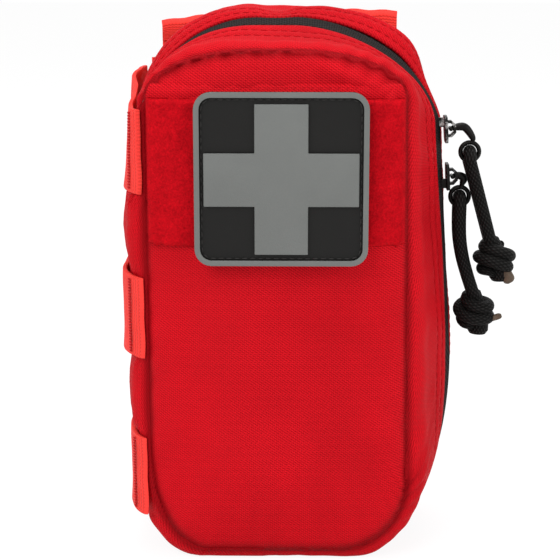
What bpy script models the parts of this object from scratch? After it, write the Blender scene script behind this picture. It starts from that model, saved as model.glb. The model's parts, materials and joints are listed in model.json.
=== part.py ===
"""Soft first aid kit pouch for hiking: a book-type zipped case with webbing, two sliders and a lift-off patch.

Origin at the middle of the base, +Z up, the front faces -Y. Lengths in metres.
"""

import math

import bpy
import bmesh
from mathutils import Matrix, Vector

# ---------------------------------------------------------------- driving dimensions
GAP = 0.0003                 # clearance between pieces that touch
FABRIC_T = 0.0012            # case cloth with its lining
TAPE_T = 0.0008              # zip tape and bindings
WEB_W = 0.0254               # webbing width
WEB_T = 0.0013               # webbing thickness
WEB_PITCH = 0.0508           # webbing rows, centre to centre

# outline where the zip runs (halfway between front and back)
ZIP_LEFT = -0.0457
ZIP_RIGHT_TOP = 0.0510
ZIP_RIGHT_BOTTOM = 0.0558
ZIP_TOP = 0.1665
ZIP_BOTTOM = 0.0
ZIP_TOP_LEFT_R = 0.0400
ZIP_TOP_RIGHT_W = 0.0460
ZIP_TOP_RIGHT_H = 0.0265
ZIP_LOW_RIGHT_W = 0.0300
ZIP_LOW_RIGHT_H = 0.0600
ZIP_LOW_LEFT_R = 0.0160

# outline of the front panel's seam
FRONT_LEFT = -0.0392
FRONT_RIGHT_TOP = 0.0386
FRONT_RIGHT_BOTTOM = 0.0402
FRONT_TOP_DROP = 0.0065      # the front seam's top under the zip's
FRONT_BOTTOM_RISE = 0.0030
FRONT_TOP = ZIP_TOP - FRONT_TOP_DROP
FRONT_BOTTOM = ZIP_BOTTOM + FRONT_BOTTOM_RISE
FRONT_TOP_W = 0.0340         # how far its upper corners run in from the side
FRONT_TOP_H = 0.0140
FRONT_LOW_RIGHT_R = 0.0220
FRONT_LOW_LEFT_W = 0.0180
FRONT_LOW_LEFT_H = 0.0340

# outline of the back panel's seam
BACK_LEFT = -0.0420
BACK_RIGHT = 0.0420
BACK_TOP_RISE = 0.0015       # the back seam's top over the zip's
BACK_TOP = ZIP_TOP + BACK_TOP_RISE
BACK_BOTTOM = ZIP_BOTTOM
BACK_TOP_W = 0.0340
BACK_TOP_LEFT_H = 0.0300
BACK_TOP_RIGHT_H = 0.0260
BACK_LOW_RIGHT_W = 0.0220
BACK_LOW_RIGHT_H = 0.0240
BACK_LOW_LEFT_R = 0.0180

FRONT_DEPTH = 0.0270         # from the zip to the front seam
BACK_DEPTH = 0.0282          # from the zip to the back seam
CROWN = 0.0050               # how far the stuffed front panel stands out of its seam
CROWN_POWER = 6              # how late the crown falls away to the seam

# the gusset's belly: share of its depth, and how far out it is between seam and zip outline
GUSSET_SHAPE = ((0.22, 1.0), (0.37, 0.97), (0.56, 0.87), (0.74, 0.66), (0.89, 0.38), (1.0, 0.0))

ZIP_SLOT = 0.0016            # between the two coils, where a slider's post runs
COIL_W = 0.0011
COIL_PROUD = 0.0005          # the coil's outer side above the tape
TAPE_W = 0.0078
ZIP_OPEN = 0.0044            # cloth edge to cloth edge over the zip

PATCH_SIZE = 0.0508
PATCH_CORNER = 0.0050
PATCH_HOOK_T = 0.0010
PATCH_BASE_T = 0.0012
PATCH_RAISED_T = 0.0008
PATCH_BORDER_W = 0.0016
PATCH_X = 0.0015
PATCH_TILT = math.radians(1.2)
CROSS_SIDE_ROOM = 0.0012     # black left between the cross and the border, at the sides
CROSS_END_ROOM = 0.0018      # and above and below
CROSS_W = PATCH_SIZE - 2 * (PATCH_BORDER_W + CROSS_SIDE_ROOM)
CROSS_H = PATCH_SIZE - 2 * (PATCH_BORDER_W + CROSS_END_ROOM)
CROSS_ARM = PATCH_SIZE * 0.307

LOOP_DROP = 0.0100           # the loop tape's upper edge under the front seam's top
LOOP_H = 0.0480              # its height
LOOP_HIGH = FRONT_TOP - LOOP_DROP
LOOP_LOW = LOOP_HIGH - LOOP_H
LOOP_T = 0.0010
PATCH_DROP = 0.0270          # the patch's middle under the loop tape's upper edge
PATCH_Z = LOOP_HIGH - PATCH_DROP

SIDE_ROW_DROP = 0.0370       # centre of the uppermost row on the left side, under the top of the zip
SIDE_ROW_TOP = ZIP_TOP - SIDE_ROW_DROP
ROW_LIFT_TOP = 0.0021        # how far the uppermost row stands off the side wall
ROW_LIFT = 0.0012
BACK_ROW_DROP = 0.0791       # centre of the middle row on the back, under the back seam's top
BACK_ROW_MID = BACK_TOP - BACK_ROW_DROP
BACK_ROW_TOP = BACK_ROW_MID + WEB_PITCH
BACK_ROW_FOOT = BACK_ROW_MID - WEB_PITCH - WEB_W / 2

STRAP_X = 0.0254             # the two back straps' distance from the middle
STRAP_RISE = 0.0020          # the straps' turned ends over the back seam's top
STRAP_TOP = BACK_TOP + STRAP_RISE
STRAP_UNDER_ROW = 0.0014     # the straps run on under the lowest row
STRAP_END = BACK_ROW_FOOT - STRAP_UNDER_ROW        # where the strap's free tail begins
TAIL_L = 0.0205
TAIL_END = STRAP_END - TAIL_L
SNAP_DROP = 0.0115           # the snap under the start of the tail
SNAP_Z = STRAP_END - SNAP_DROP
SNAP_R = 0.0060
SNAP_POST_R = 0.0018

SLIDER_DROP = 0.0335         # the upper slider under the top of the zip
SLIDER_APART = 0.0150
SLIDER_UPPER_Z = ZIP_TOP - SLIDER_DROP
SLIDER_LOWER_Z = SLIDER_UPPER_Z - SLIDER_APART
SLIDER_W = 0.0078
SLIDER_L = 0.0084
SLIDER_PLATE_T = 0.0009
SLIDER_POST_W = 0.0010
BRIDGE_L = 0.0036            # inside length of the bridge
BRIDGE_W = 0.0022
BRIDGE_T = 0.0008
PIN_R = 0.0006
ARM_R = 0.0007               # half the width of a pull's arm
RING_BAR = 0.0010
RING_THICK = 0.0014
RING_IN = 0.0048             # the hole that the cord goes through

CORD_D = 0.0040
KNOT_W = 0.0139
KNOT_H = 0.0156

# where each pull, cord and knot hangs, measured from its own pin: to the right and down
UPPER_ELBOW_X = 0.0038
UPPER_ELBOW_DROP = 0.0006
UPPER_RING_X = 0.0062
UPPER_RING_DROP = 0.0072
UPPER_KNOT_X = 0.0151
UPPER_KNOT_DROP = 0.0412
UPPER_BOW = 0.0
LOWER_ELBOW_X = 0.0031
LOWER_ELBOW_DROP = 0.0015
LOWER_RING_X = 0.0025
LOWER_RING_DROP = 0.0063
LOWER_KNOT_X = 0.0083
LOWER_KNOT_DROP = 0.0435
LOWER_BOW = 0.0015

ROLL_R = 0.0098
ROLL_H = 0.0500
ROLL_X = 0.0140
ROLL_DROP = 0.0595           # the rolls' middle under the top of the zip
ROLL_Z = ZIP_TOP - ROLL_DROP
ROLL_EDGE = 0.0010           # rounding of a roll's edges
ROLL_CORE_R = 0.0020         # the hollow at the middle of a roll's end
ROLL_CORE_DEEP = 0.0008
BAND_W = 0.0250              # the elastic band over the bandage rolls
BAND_TAB = 0.0060            # how far its sewn ends reach beyond the rolls
BAND_SLACK = 0.0012          # where it leaves a roll for the back
BAND_MIDDLE = 0.0021         # and between the two
LINING_T = 0.0008            # cloth of the inside pockets and of the elastic band
SLIP_W = 0.0670              # slip pocket for flat packs
SLIP_H = 0.0560
SLIP_DEEP = 0.0062
SLIP_SLANT = 0.0023          # slant of its sides
SLIP_ROOM = 0.0020           # under the pack
SLIP_Z = 0.0400
GAUZE_W = 0.0540
GAUZE_H = 0.0450
GAUZE_EDGE = 0.0012
LID_POCKET_W = 0.0600
LID_POCKET_H = 0.0620
LID_POCKET_DEEP = 0.0066
LID_POCKET_SLANT = 0.0010
LID_POCKET_START = 0.0027    # its sides' ends over the panel's inner face
LID_POCKET_ROOM = 0.0040     # under the pack
LID_POCKET_Z = 0.0600
PLASTER_W = 0.0480
PLASTER_H = 0.0490
PLASTER_OFF = 0.0016         # the pack over the panel's inner face
PLASTER_EDGE = 0.0010

CORNER_STEPS = 8
LEFT_STEPS = 4
RIGHT_STEPS = 7
LEVEL_STEPS = 4

# ---------------------------------------------------------------- colours
RED = (0.560, 0.010, 0.020)
RED_WEB = (0.800, 0.050, 0.040)
RED_LOOP = (0.480, 0.006, 0.014)
CHARCOAL = (0.030, 0.030, 0.029)
BLACK = (0.016, 0.016, 0.016)
GREY = (0.200, 0.210, 0.200)
STEEL = (0.500, 0.500, 0.490)
WHITE = (0.800, 0.790, 0.760)
LINING = (0.100, 0.100, 0.100)


# ---------------------------------------------------------------- helpers
def wipe():
    for o in list(bpy.data.objects):
        bpy.data.objects.remove(o)


def collection(name):
    c = bpy.data.collections.new(name)
    bpy.context.scene.collection.children.link(c)
    return c


def material(name, colour, roughness, metallic=0.0):
    m = bpy.data.materials.new(name)
    m.use_nodes = True
    b = m.node_tree.nodes["Principled BSDF"]
    b.inputs["Base Color"].default_value = (*colour, 1.0)
    b.inputs["Roughness"].default_value = roughness
    b.inputs["Metallic"].default_value = metallic
    m.diffuse_color = (*colour, 1.0)
    return m


def add(name, mesh, coll, mat=None, frame=None):
    o = bpy.data.objects.new(name, mesh)
    coll.objects.link(o)
    if frame is not None:
        o.matrix_world = frame
    if mat is not None:
        o.data.materials.clear()
        o.data.materials.append(mat)
    return o


def mesh_of(name, verts, faces):
    me = bpy.data.meshes.new(name)
    me.from_pydata([tuple(v) for v in verts], [], faces)
    bm = bmesh.new()
    bm.from_mesh(me)
    bmesh.ops.recalc_face_normals(bm, faces=bm.faces)
    bm.to_mesh(me)
    bm.free()
    return me


def loft(name, sections, coll, mat, closed=False):
    """A solid through equal closed sections; the last joins the first if closed, else both ends are capped."""
    n = len(sections[0])
    verts = [v for s in sections for v in s]
    faces = []
    spans = len(sections) if closed else len(sections) - 1
    for k in range(spans):
        a = k * n
        b = ((k + 1) % len(sections)) * n
        for i in range(n):
            j = (i + 1) % n
            faces.append((a + i, a + j, b + j, b + i))
    if not closed:
        faces.append(tuple(range(n)))
        faces.append(tuple(reversed(range(len(verts) - n, len(verts)))))
    return add(name, mesh_of(name, verts, faces), coll, mat)


def flat(name, loops, depth, coll, mat=None, frame=None):
    """A flat outline, with any holes as further loops, extruded by depth about its own plane."""
    cu = bpy.data.curves.new(name, "CURVE")
    cu.dimensions = "2D"
    cu.fill_mode = "BOTH"
    cu.extrude = depth / 2
    for loop in loops:
        sp = cu.splines.new("POLY")
        sp.points.add(len(loop) - 1)
        for p, q in zip(sp.points, loop):
            p.co = (q[0], q[1], 0.0, 1.0)
        sp.use_cyclic_u = True
    tmp = bpy.data.objects.new(name + "_curve", cu)
    coll.objects.link(tmp)
    return settle(name, tmp, coll, mat, frame)


def settle(name, tmp, coll, mat, frame):
    """Turns an evaluated curve or modified object into a plain closed mesh object."""
    bpy.context.view_layer.update()
    dg = bpy.context.evaluated_depsgraph_get()
    me = bpy.data.meshes.new_from_object(tmp.evaluated_get(dg))
    me.name = name
    bm = bmesh.new()
    bm.from_mesh(me)
    bmesh.ops.remove_doubles(bm, verts=bm.verts, dist=0.000001)
    bmesh.ops.recalc_face_normals(bm, faces=bm.faces)
    bm.to_mesh(me)
    bm.free()
    bpy.data.objects.remove(tmp)
    return add(name, me, coll, mat, frame)


def box(name, low, high, coll, mat=None, bevel=0.0):
    bm = bmesh.new()
    bmesh.ops.create_cube(bm, size=1.0)
    for v in bm.verts:
        for k in range(3):
            v.co[k] = low[k] + (v.co[k] + 0.5) * (high[k] - low[k])
    if bevel:
        bmesh.ops.bevel(bm, geom=bm.edges[:], offset=bevel, segments=2, profile=0.5, affect="EDGES")
    me = bpy.data.meshes.new(name)
    bm.to_mesh(me)
    bm.free()
    return add(name, me, coll, mat)


def turned(name, profile, steps, coll, mat, frame):
    """A turned solid about local Z; the profile's (radius, height) pairs run down its outer side, axis to axis."""
    me = bpy.data.meshes.new(name)
    edges = [(k, k + 1) for k in range(len(profile) - 1)]
    me.from_pydata([(r, 0.0, z) for r, z in profile], edges, [])
    tmp = add(name + "_profile", me, coll)
    m = tmp.modifiers.new("turn", "SCREW")
    m.axis = "Z"
    m.steps = steps
    m.render_steps = steps
    m.use_merge_vertices = True
    m.merge_threshold = 0.00001
    return settle(name, tmp, coll, mat, frame)


def bar(name, a, b, radius, coll, segments=12):
    """A round bar from a to b."""
    a, b = Vector(a), Vector(b)
    bm = bmesh.new()
    bmesh.ops.create_cone(bm, cap_ends=True, segments=segments, radius1=radius, radius2=radius, depth=(b - a).length)
    me = bpy.data.meshes.new(name)
    bm.to_mesh(me)
    bm.free()
    turn = (b - a).to_track_quat("Z", "Y").to_matrix().to_4x4()
    return add(name, me, coll, None, Matrix.Translation((a + b) / 2) @ turn)


def join_solids(target, others, operation="UNION"):
    """Adds the others to the target, or cuts them away, and leaves one plain mesh."""
    for k, o in enumerate(others):
        m = target.modifiers.new("join%d" % k, "BOOLEAN")
        m.solver = "EXACT"
        m.operation = operation
        m.object = o
    name = target.name
    coll = target.users_collection[0]
    mat = target.data.materials[0] if target.data.materials else None
    bpy.context.view_layer.update()
    dg = bpy.context.evaluated_depsgraph_get()
    me = bpy.data.meshes.new_from_object(target.evaluated_get(dg))
    me.transform(target.matrix_world)
    bm = bmesh.new()
    bm.from_mesh(me)
    bmesh.ops.remove_doubles(bm, verts=bm.verts, dist=0.000002)
    bmesh.ops.dissolve_degenerate(bm, edges=bm.edges, dist=0.000002)
    bm.to_mesh(me)
    bm.free()
    for o in others:
        bpy.data.objects.remove(o)
    bpy.data.objects.remove(target)
    return add(name, me, coll, mat)


def set_origin(o, point):
    """Moves an object's origin to a point without moving its faces."""
    bpy.context.view_layer.update()
    world = o.matrix_world.copy()
    o.data.transform(Matrix.Translation(-Vector(point)) @ world)
    o.matrix_world = Matrix.Translation(Vector(point))


def rounded(w, h, r, steps=6, cx=0.0, cy=0.0):
    """A rounded rectangle's outline."""
    pts = []
    for q, (sx, sy) in enumerate(((1, 1), (-1, 1), (-1, -1), (1, -1))):
        for k in range(steps + 1):
            a = math.radians(90 * q + 90 * k / steps)
            x = cx + sx * (w / 2 - r) + r * math.cos(a)
            y = cy + sy * (h / 2 - r) + r * math.sin(a)
            pts.append((x, y))
    return pts


def ribbon(path, t):
    """The closed outline of a strip of thickness t whose one face follows the path, on the path's left side."""
    inner = [Vector(p) for p in path]
    outer = []
    for i, p in enumerate(inner):
        before = (p - inner[i - 1]).normalized() if i else (inner[1] - p).normalized()
        after = (inner[i + 1] - p).normalized() if i + 1 < len(inner) else before
        mid = (before + after).normalized()
        side = Vector((-mid.y, mid.x))
        reach = t / max(0.6, Vector((-before.y, before.x)).dot(side))
        outer.append(p + side * reach)
    return [tuple(p) for p in inner] + [tuple(p) for p in reversed(outer)]


def frame_of(x_axis, y_axis, z_axis, origin):
    m = Matrix.Identity(4)
    for k, a in enumerate((x_axis, y_axis, z_axis)):
        for r in range(3):
            m[r][k] = a[r]
    for r in range(3):
        m[r][3] = origin[r]
    return m


# ---------------------------------------------------------------- outlines
def corner(cx, cz, sx, sz, size, start):
    """A corner from one side to the next; start is 'side' where it leaves a vertical side."""
    rx, rz, n = size
    pts = []
    for k in range(1, CORNER_STEPS + 1):
        a = math.pi / 2 * k / CORNER_STEPS
        c, s = math.cos(a), math.sin(a)
        if start != "side":
            c, s = s, c
        pts.append((cx + sx * rx * c ** (2 / n), cz + sz * rz * max(s, 0.0) ** (2 / n)))
    return pts


def between(a, b, steps):
    return [(a[0] + (b[0] - a[0]) * k / steps, a[1] + (b[1] - a[1]) * k / steps) for k in range(1, steps + 1)]


def outline(left, right_top, right_bottom, bottom, top, corners):
    """Points clockwise as seen from the front, from the foot of the left side, the same count in every outline."""
    tl, tr, br, bl = corners
    pts = [(left, bottom + bl[1])]
    pts += between(pts[-1], (left, top - tl[1]), LEFT_STEPS)
    pts += corner(left + tl[0], top - tl[1], -1, 1, tl, "side")
    pts += between(pts[-1], (right_top - tr[0], top), LEVEL_STEPS)
    pts += corner(right_top - tr[0], top - tr[1], 1, 1, tr, "level")
    pts += between(pts[-1], (right_bottom, bottom + br[1]), RIGHT_STEPS)
    pts += corner(right_bottom - br[0], bottom + br[1], 1, -1, br, "side")
    pts += between(pts[-1], (left + bl[0], bottom), LEVEL_STEPS)
    pts += corner(left + bl[0], bottom + bl[1], -1, -1, bl, "level")
    return [Vector(p) for p in pts[:-1]]


# each outline's corners, clockwise from the upper left: width, height and how square it is
ZIP_CORNERS = (
    (ZIP_TOP_LEFT_R, ZIP_TOP_LEFT_R, 2.0),
    (ZIP_TOP_RIGHT_W, ZIP_TOP_RIGHT_H, 1.7),
    (ZIP_LOW_RIGHT_W, ZIP_LOW_RIGHT_H, 2.8),
    (ZIP_LOW_LEFT_R, ZIP_LOW_LEFT_R, 2.0),
)
FRONT_CORNERS = (
    (FRONT_TOP_W, FRONT_TOP_H, 2.0),
    (FRONT_TOP_W, FRONT_TOP_H, 2.0),
    (FRONT_LOW_RIGHT_R, FRONT_LOW_RIGHT_R, 2.0),
    (FRONT_LOW_LEFT_W, FRONT_LOW_LEFT_H, 2.0),
)
BACK_CORNERS = (
    (BACK_TOP_W, BACK_TOP_LEFT_H, 2.0),
    (BACK_TOP_W, BACK_TOP_RIGHT_H, 2.0),
    (BACK_LOW_RIGHT_W, BACK_LOW_RIGHT_H, 2.0),
    (BACK_LOW_LEFT_R, BACK_LOW_LEFT_R, 2.0),
)
ZIP_LINE = outline(ZIP_LEFT, ZIP_RIGHT_TOP, ZIP_RIGHT_BOTTOM, ZIP_BOTTOM, ZIP_TOP, ZIP_CORNERS)
FRONT_LINE = outline(FRONT_LEFT, FRONT_RIGHT_TOP, FRONT_RIGHT_BOTTOM, FRONT_BOTTOM, FRONT_TOP, FRONT_CORNERS)
BACK_LINE = outline(BACK_LEFT, BACK_RIGHT, BACK_RIGHT, BACK_BOTTOM, BACK_TOP, BACK_CORNERS)
COUNT = len(ZIP_LINE)
ZIP_FIRST = LEFT_STEPS + 3                       # the zip starts a third of the way round the upper left corner
ZIP_LAST = COUNT - CORNER_STEPS                  # and ends before the lower left corner


def inset(points, i, distance):
    """The outline's point i moved inwards."""
    n = len(points)
    before = (points[i] - points[(i - 1) % n]).normalized()
    after = (points[(i + 1) % n] - points[i]).normalized()
    mid = (before + after).normalized()
    side = Vector((mid.y, -mid.x))
    return points[i] + side * distance / max(0.7, Vector((before.y, -before.x)).dot(side))


def share(shape_y):
    """How far out the gusset is at a share of its depth."""
    last = (0.0, 1.0)
    for y, w in GUSSET_SHAPE:
        if shape_y <= y + 1e-9:
            return last[1] + (w - last[1]) * (shape_y - last[0]) / (y - last[0])
        last = (y, w)
    return 0.0


def wall_line(seam, depth, y):
    """The gusset's outer outline at a distance y from the zip."""
    w = share(y / depth)
    return [s.lerp(z, w) for s, z in zip(seam, ZIP_LINE)]


def wall_section(seam, depth, sign, i, stations, deep, thick):
    """A closed section at outline point i through a layer of the gusset."""
    outer = []
    inner = []
    for y in stations:
        line = wall_line(seam, depth, y)
        a = inset(line, i, deep)
        b = inset(line, i, deep + thick)
        outer.append((a.x, sign * y, a.y))
        inner.append((b.x, sign * y, b.y))
    return outer + inner[::-1]


def on_zip(i):
    return ZIP_FIRST <= i <= ZIP_LAST


def gusset(name, seam, depth, sign, coll, mat):
    sections = []
    for i in range(COUNT):
        first = ZIP_OPEN / 2 if on_zip(i) else GAP / 2
        stations = [first] + [s * depth for s, _ in GUSSET_SHAPE]
        sections.append(wall_section(seam, depth, sign, i, stations, 0.0, FABRIC_T))
    return loft(name, sections, coll, mat, closed=True)


def zip_strip(name, seam, depth, sign, low, high, deep, thick, coll, mat, trim=0):
    """A strip along the zip between distances low and high from its middle."""
    stations = [low] + [s * depth for s, _ in GUSSET_SHAPE if low < s * depth < high] + [high]
    sections = [
        wall_section(seam, depth, sign, i, stations, deep, thick) for i in range(ZIP_FIRST + trim, ZIP_LAST + 1 - trim)
    ]
    return loft(name, sections, coll, mat)


def binding(name, seam, depth, sign, coll, mat):
    """The tape that covers the seam inside."""
    stations = [GUSSET_SHAPE[3][0] * depth, GUSSET_SHAPE[4][0] * depth, 0.94 * depth]
    sections = [wall_section(seam, depth, sign, i, stations, FABRIC_T + GAP, TAPE_T) for i in range(COUNT)]
    return loft(name, sections, coll, mat, closed=True)


def ray_share(points, mid, p):
    """The share of the way from mid to the outline that p is at, 1 on the outline."""
    d = Vector(p) - mid
    if d.length < 1e-9:
        return 0.0
    for i in range(len(points)):
        a = points[i] - mid
        b = points[(i + 1) % len(points)] - mid
        e = b - a
        det = d.x * e.y - d.y * e.x
        if abs(det) < 1e-15:
            continue
        t = (a.x * e.y - a.y * e.x) / det
        u = (a.x * d.y - a.y * d.x) / det
        if t > 0 and -1e-9 <= u <= 1 + 1e-9:
            return 1 / t
    return 1.0


def panel_edge(seam, depth):
    """The outline of a panel that lies inside its gusset's rim all through the rim's thickness."""
    mid = sum(seam, Vector((0, 0))) / COUNT
    rim = [inset(seam, i, FABRIC_T + GAP) for i in range(COUNT)]
    line = wall_line(seam, depth, depth - FABRIC_T)
    under = [inset(line, i, FABRIC_T + GAP) for i in range(COUNT)]
    return [mid + (p - mid) / max(1.0, ray_share(under, mid, p)) for p in rim]


# ---------------------------------------------------------------- front panel surface
FRONT_EDGE = panel_edge(FRONT_LINE, FRONT_DEPTH)
FRONT_MID = Vector(((FRONT_LEFT + FRONT_RIGHT_TOP) / 2, (FRONT_BOTTOM + FRONT_TOP) / 2))


def reach_of(x, z):
    """How far a point is from the middle of the front panel towards its edge, 1 on the edge."""
    return ray_share(FRONT_EDGE, FRONT_MID, (x, z))


def front_y(x, z):
    """The front panel's outer face."""
    return -(FRONT_DEPTH + CROWN * (1 - min(1.0, reach_of(x, z)) ** CROWN_POWER))


def front_panel(coll, mat):
    scales = (1.0, 0.98, 0.955, 0.925, 0.89, 0.84, 0.77, 0.66)
    rings = []
    for side in (0.0, FABRIC_T):
        for s in scales if side == 0.0 else scales[::-1]:
            ring = []
            for p in FRONT_EDGE:
                q = FRONT_MID + (p - FRONT_MID) * s
                ring.append((q.x, -(FRONT_DEPTH + CROWN * (1 - s ** CROWN_POWER)) + side, q.y))
            rings.append(ring)
    # the section order runs from the middle of the outer face, round the edge, to the middle of the inner face
    outer = rings[: len(scales)][::-1]
    inner = rings[len(scales):][::-1]
    return loft("front_panel", outer + inner, coll, mat)


def edge_x(z, side):
    """The front panel's edge at a height."""
    best = None
    for i in range(COUNT):
        a, b = FRONT_EDGE[i], FRONT_EDGE[(i + 1) % COUNT]
        if (a.y - z) * (b.y - z) <= 0 and abs(a.y - b.y) > 1e-9:
            x = a.x + (b.x - a.x) * (z - a.y) / (b.y - a.y)
            if best is None or (x - best) * side > 0:
                best = x
    return best


def loop_field(coll, mat):
    """The tape of loops across the front, lying on the crowned panel."""
    spots = (0.0, 0.02, 0.05, 0.09, 0.15, 0.25, 0.40, 0.60, 0.75, 0.85, 0.91, 0.95, 0.98, 1.0)
    rows = 9
    sections = []
    for f in spots:
        face = []
        back = []
        for k in range(rows):
            z = LOOP_LOW + (LOOP_HIGH - LOOP_LOW) * k / (rows - 1)
            left = edge_x(z, -1) + 0.0004
            right = edge_x(z, 1) - 0.0004
            x = left + (right - left) * f
            y = front_y(x, z) - GAP - 0.0002
            back.append((x, y, z))
            face.append((x, y - LOOP_T, z))
        sections.append(face + back[::-1])
    return loft("loop_field", sections, coll, mat)


# ---------------------------------------------------------------- webbing
HINGE_X = ZIP_LEFT - GAP - WEB_T - ROW_LIFT_TOP - GAP


def side_row(k, sign, coll, mat):
    """One row of webbing on the left side: front piece for sign -1, rear piece for sign +1."""
    z = SIDE_ROW_TOP - WEB_PITCH * k
    seam = FRONT_LINE if sign < 0 else BACK_LINE
    depth = FRONT_DEPTH if sign < 0 else BACK_DEPTH
    lift = ROW_LIFT_TOP if k == 0 else ROW_LIFT
    path = []
    for s in (0.97, 0.89, 0.82, 0.74, 0.65, 0.56, 0.47, 0.37, 0.29, 0.22, 0.10, GAP / depth):
        low = min(wall_x(seam, depth, s * depth, z + d * WEB_W / 2) for d in (-1, -0.5, 0, 0.5, 1))
        bump = 0.0
        if 0.22 < s < 0.89:
            bump = lift * math.sin(math.pi * (s - 0.22) / 0.67)
        path.append((low - GAP - bump, sign * s * depth))
    if sign > 0:
        outline_ = ribbon(path[::-1], WEB_T)
    else:
        outline_ = ribbon([(x, y) for x, y in path[::-1]], -WEB_T)
    place = Matrix.Translation((0, 0, z))
    side = "front" if sign < 0 else "rear"
    return flat("side_row_%s_%d" % (side, k + 1), [outline_], WEB_W, coll, mat, place)


def wall_x(seam, depth, y, z):
    """The left wall's outermost x at a distance from the zip and a height."""
    line = wall_line(seam, depth, y)
    best = 0.0
    for i in range(COUNT):
        a, b = line[i], line[(i + 1) % COUNT]
        if (a.y - z) * (b.y - z) <= 0 and abs(a.y - b.y) > 1e-9:
            best = min(best, a.x + (b.x - a.x) * (z - a.y) / (b.y - a.y))
    return best


STRAP_Y = BACK_DEPTH + GAP                       # the straps' inner face
ROW_HIGH = STRAP_Y + WEB_T + GAP                 # the back rows' inner face over a strap


def back_row(k, coll, mat):
    z = BACK_ROW_TOP - WEB_PITCH * k
    near = STRAP_X - WEB_W / 2 - GAP
    far = STRAP_X + WEB_W / 2 + GAP
    half = [(near - 0.0022, STRAP_Y), (near - 0.0004, ROW_HIGH), (far + 0.0002, ROW_HIGH), (far + 0.0014, STRAP_Y)]
    half.append((BACK_RIGHT - GAP, STRAP_Y))
    path = [(-x, y) for x, y in reversed(half)] + half
    place = Matrix.Translation((0, 0, z))
    return flat("back_row_%d" % (k + 1), [ribbon(path, WEB_T)], WEB_W, coll, mat, place)


def side_frame(x):
    """A frame whose plane is Y-Z, for outlines written as (y, z) and extruded along X."""
    return frame_of((0, 1, 0), (0, 0, 1), (1, 0, 0), (x, 0, 0))


TAIL_Y = STRAP_Y + 0.0015                        # the tail's inner face, over the snap's stud


def strap(side, coll, mat):
    """The fixed length of a back strap: sewn on at the top, folded over and threaded behind the rows."""
    x = side * STRAP_X
    y = STRAP_Y
    back = y + WEB_T + 0.0011
    row_top = BACK_ROW_TOP + WEB_W / 2
    crest = STRAP_TOP - WEB_T
    path = [(y + WEB_T, row_top + 0.0060), (y + WEB_T, crest - 0.0012), (y + WEB_T + 0.0003, crest - 0.0003)]
    path += [(back - 0.0003, crest - 0.0003), (back, crest - 0.0012), (back, row_top + 0.0066)]
    path += [(y, row_top + 0.0010), (y, STRAP_END)]
    name = "strap_left" if side < 0 else "strap_right"
    shape = ribbon(path, WEB_T)
    return flat(name, [shape], WEB_W, coll, mat, side_frame(x))


def strap_tail(side, coll, mat):
    """The free end of a back strap with its hole for the snap."""
    x = side * STRAP_X
    name = "strap_tail_left" if side < 0 else "strap_tail_right"
    top = STRAP_END - GAP
    path = [(STRAP_Y, top), (STRAP_Y, top - 0.0010), (TAIL_Y, top - 0.0050), (TAIL_Y, TAIL_END)]
    tail = flat(name, [ribbon(path, WEB_T)], WEB_W, coll, mat, side_frame(x))
    hole = bar("hole", (x, TAIL_Y - 0.01, SNAP_Z), (x, TAIL_Y + 0.01, SNAP_Z), 0.0030, coll, 20)
    return join_solids(tail, [hole], "DIFFERENCE")


def snap_stud(side, coll, mat):
    """The half of the snap that is riveted to the back panel."""
    x = side * STRAP_X
    f = 0.0007
    profile = [(0, f + 0.0012), (SNAP_POST_R, f + 0.0010), (SNAP_POST_R - 0.0002, f + 0.0005), (SNAP_POST_R, f)]
    profile += [(SNAP_R - 0.0008, f), (SNAP_R, f * 0.5), (SNAP_R - 0.0006, 0), (0, 0)]
    place = frame_of((1, 0, 0), (0, 0, -1), (0, 1, 0), (x, BACK_DEPTH + GAP, SNAP_Z))
    name = "snap_stud_left" if side < 0 else "snap_stud_right"
    return turned(name, profile, 20, coll, mat, place)


def snap_cap(side, coll, mat):
    """The cap and socket on the strap's tail, with a recess for the stud."""
    x = side * STRAP_X
    base = TAIL_Y + WEB_T + GAP
    depth = base - (TAIL_Y - 0.0005)
    r = SNAP_POST_R + 0.0004
    socket = SNAP_POST_R + 0.0009
    profile = [(0, 0.0014), (SNAP_R * 0.4, 0.0013), (SNAP_R - 0.0012, 0.0010), (SNAP_R, 0.0004), (SNAP_R - 0.0004, 0.0)]
    profile += [(socket, 0.0), (socket, -depth), (r, -depth), (r, -depth + 0.0014), (0, -depth + 0.0014)]
    place = frame_of((1, 0, 0), (0, 0, -1), (0, 1, 0), (x, base, SNAP_Z))
    name = "snap_cap_left" if side < 0 else "snap_cap_right"
    return turned(name, profile, 20, coll, mat, place)


# ---------------------------------------------------------------- patch
LOOP_OUT = -(FRONT_DEPTH + CROWN) - GAP - 0.0002 - LOOP_T
PATCH_BACK = LOOP_OUT - 0.0002                   # middle of the patch's back face


def patch_frame(distance):
    """A frame on the patch, x to the right, y up, z out of the front, a distance out from its back face."""
    up = Vector((0, math.sin(PATCH_TILT), math.cos(PATCH_TILT)))
    out = Vector((1, 0, 0)).cross(up)
    at = Vector((PATCH_X, PATCH_BACK, PATCH_Z)) + out * distance
    return frame_of((1, 0, 0), up, out, at)


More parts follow.
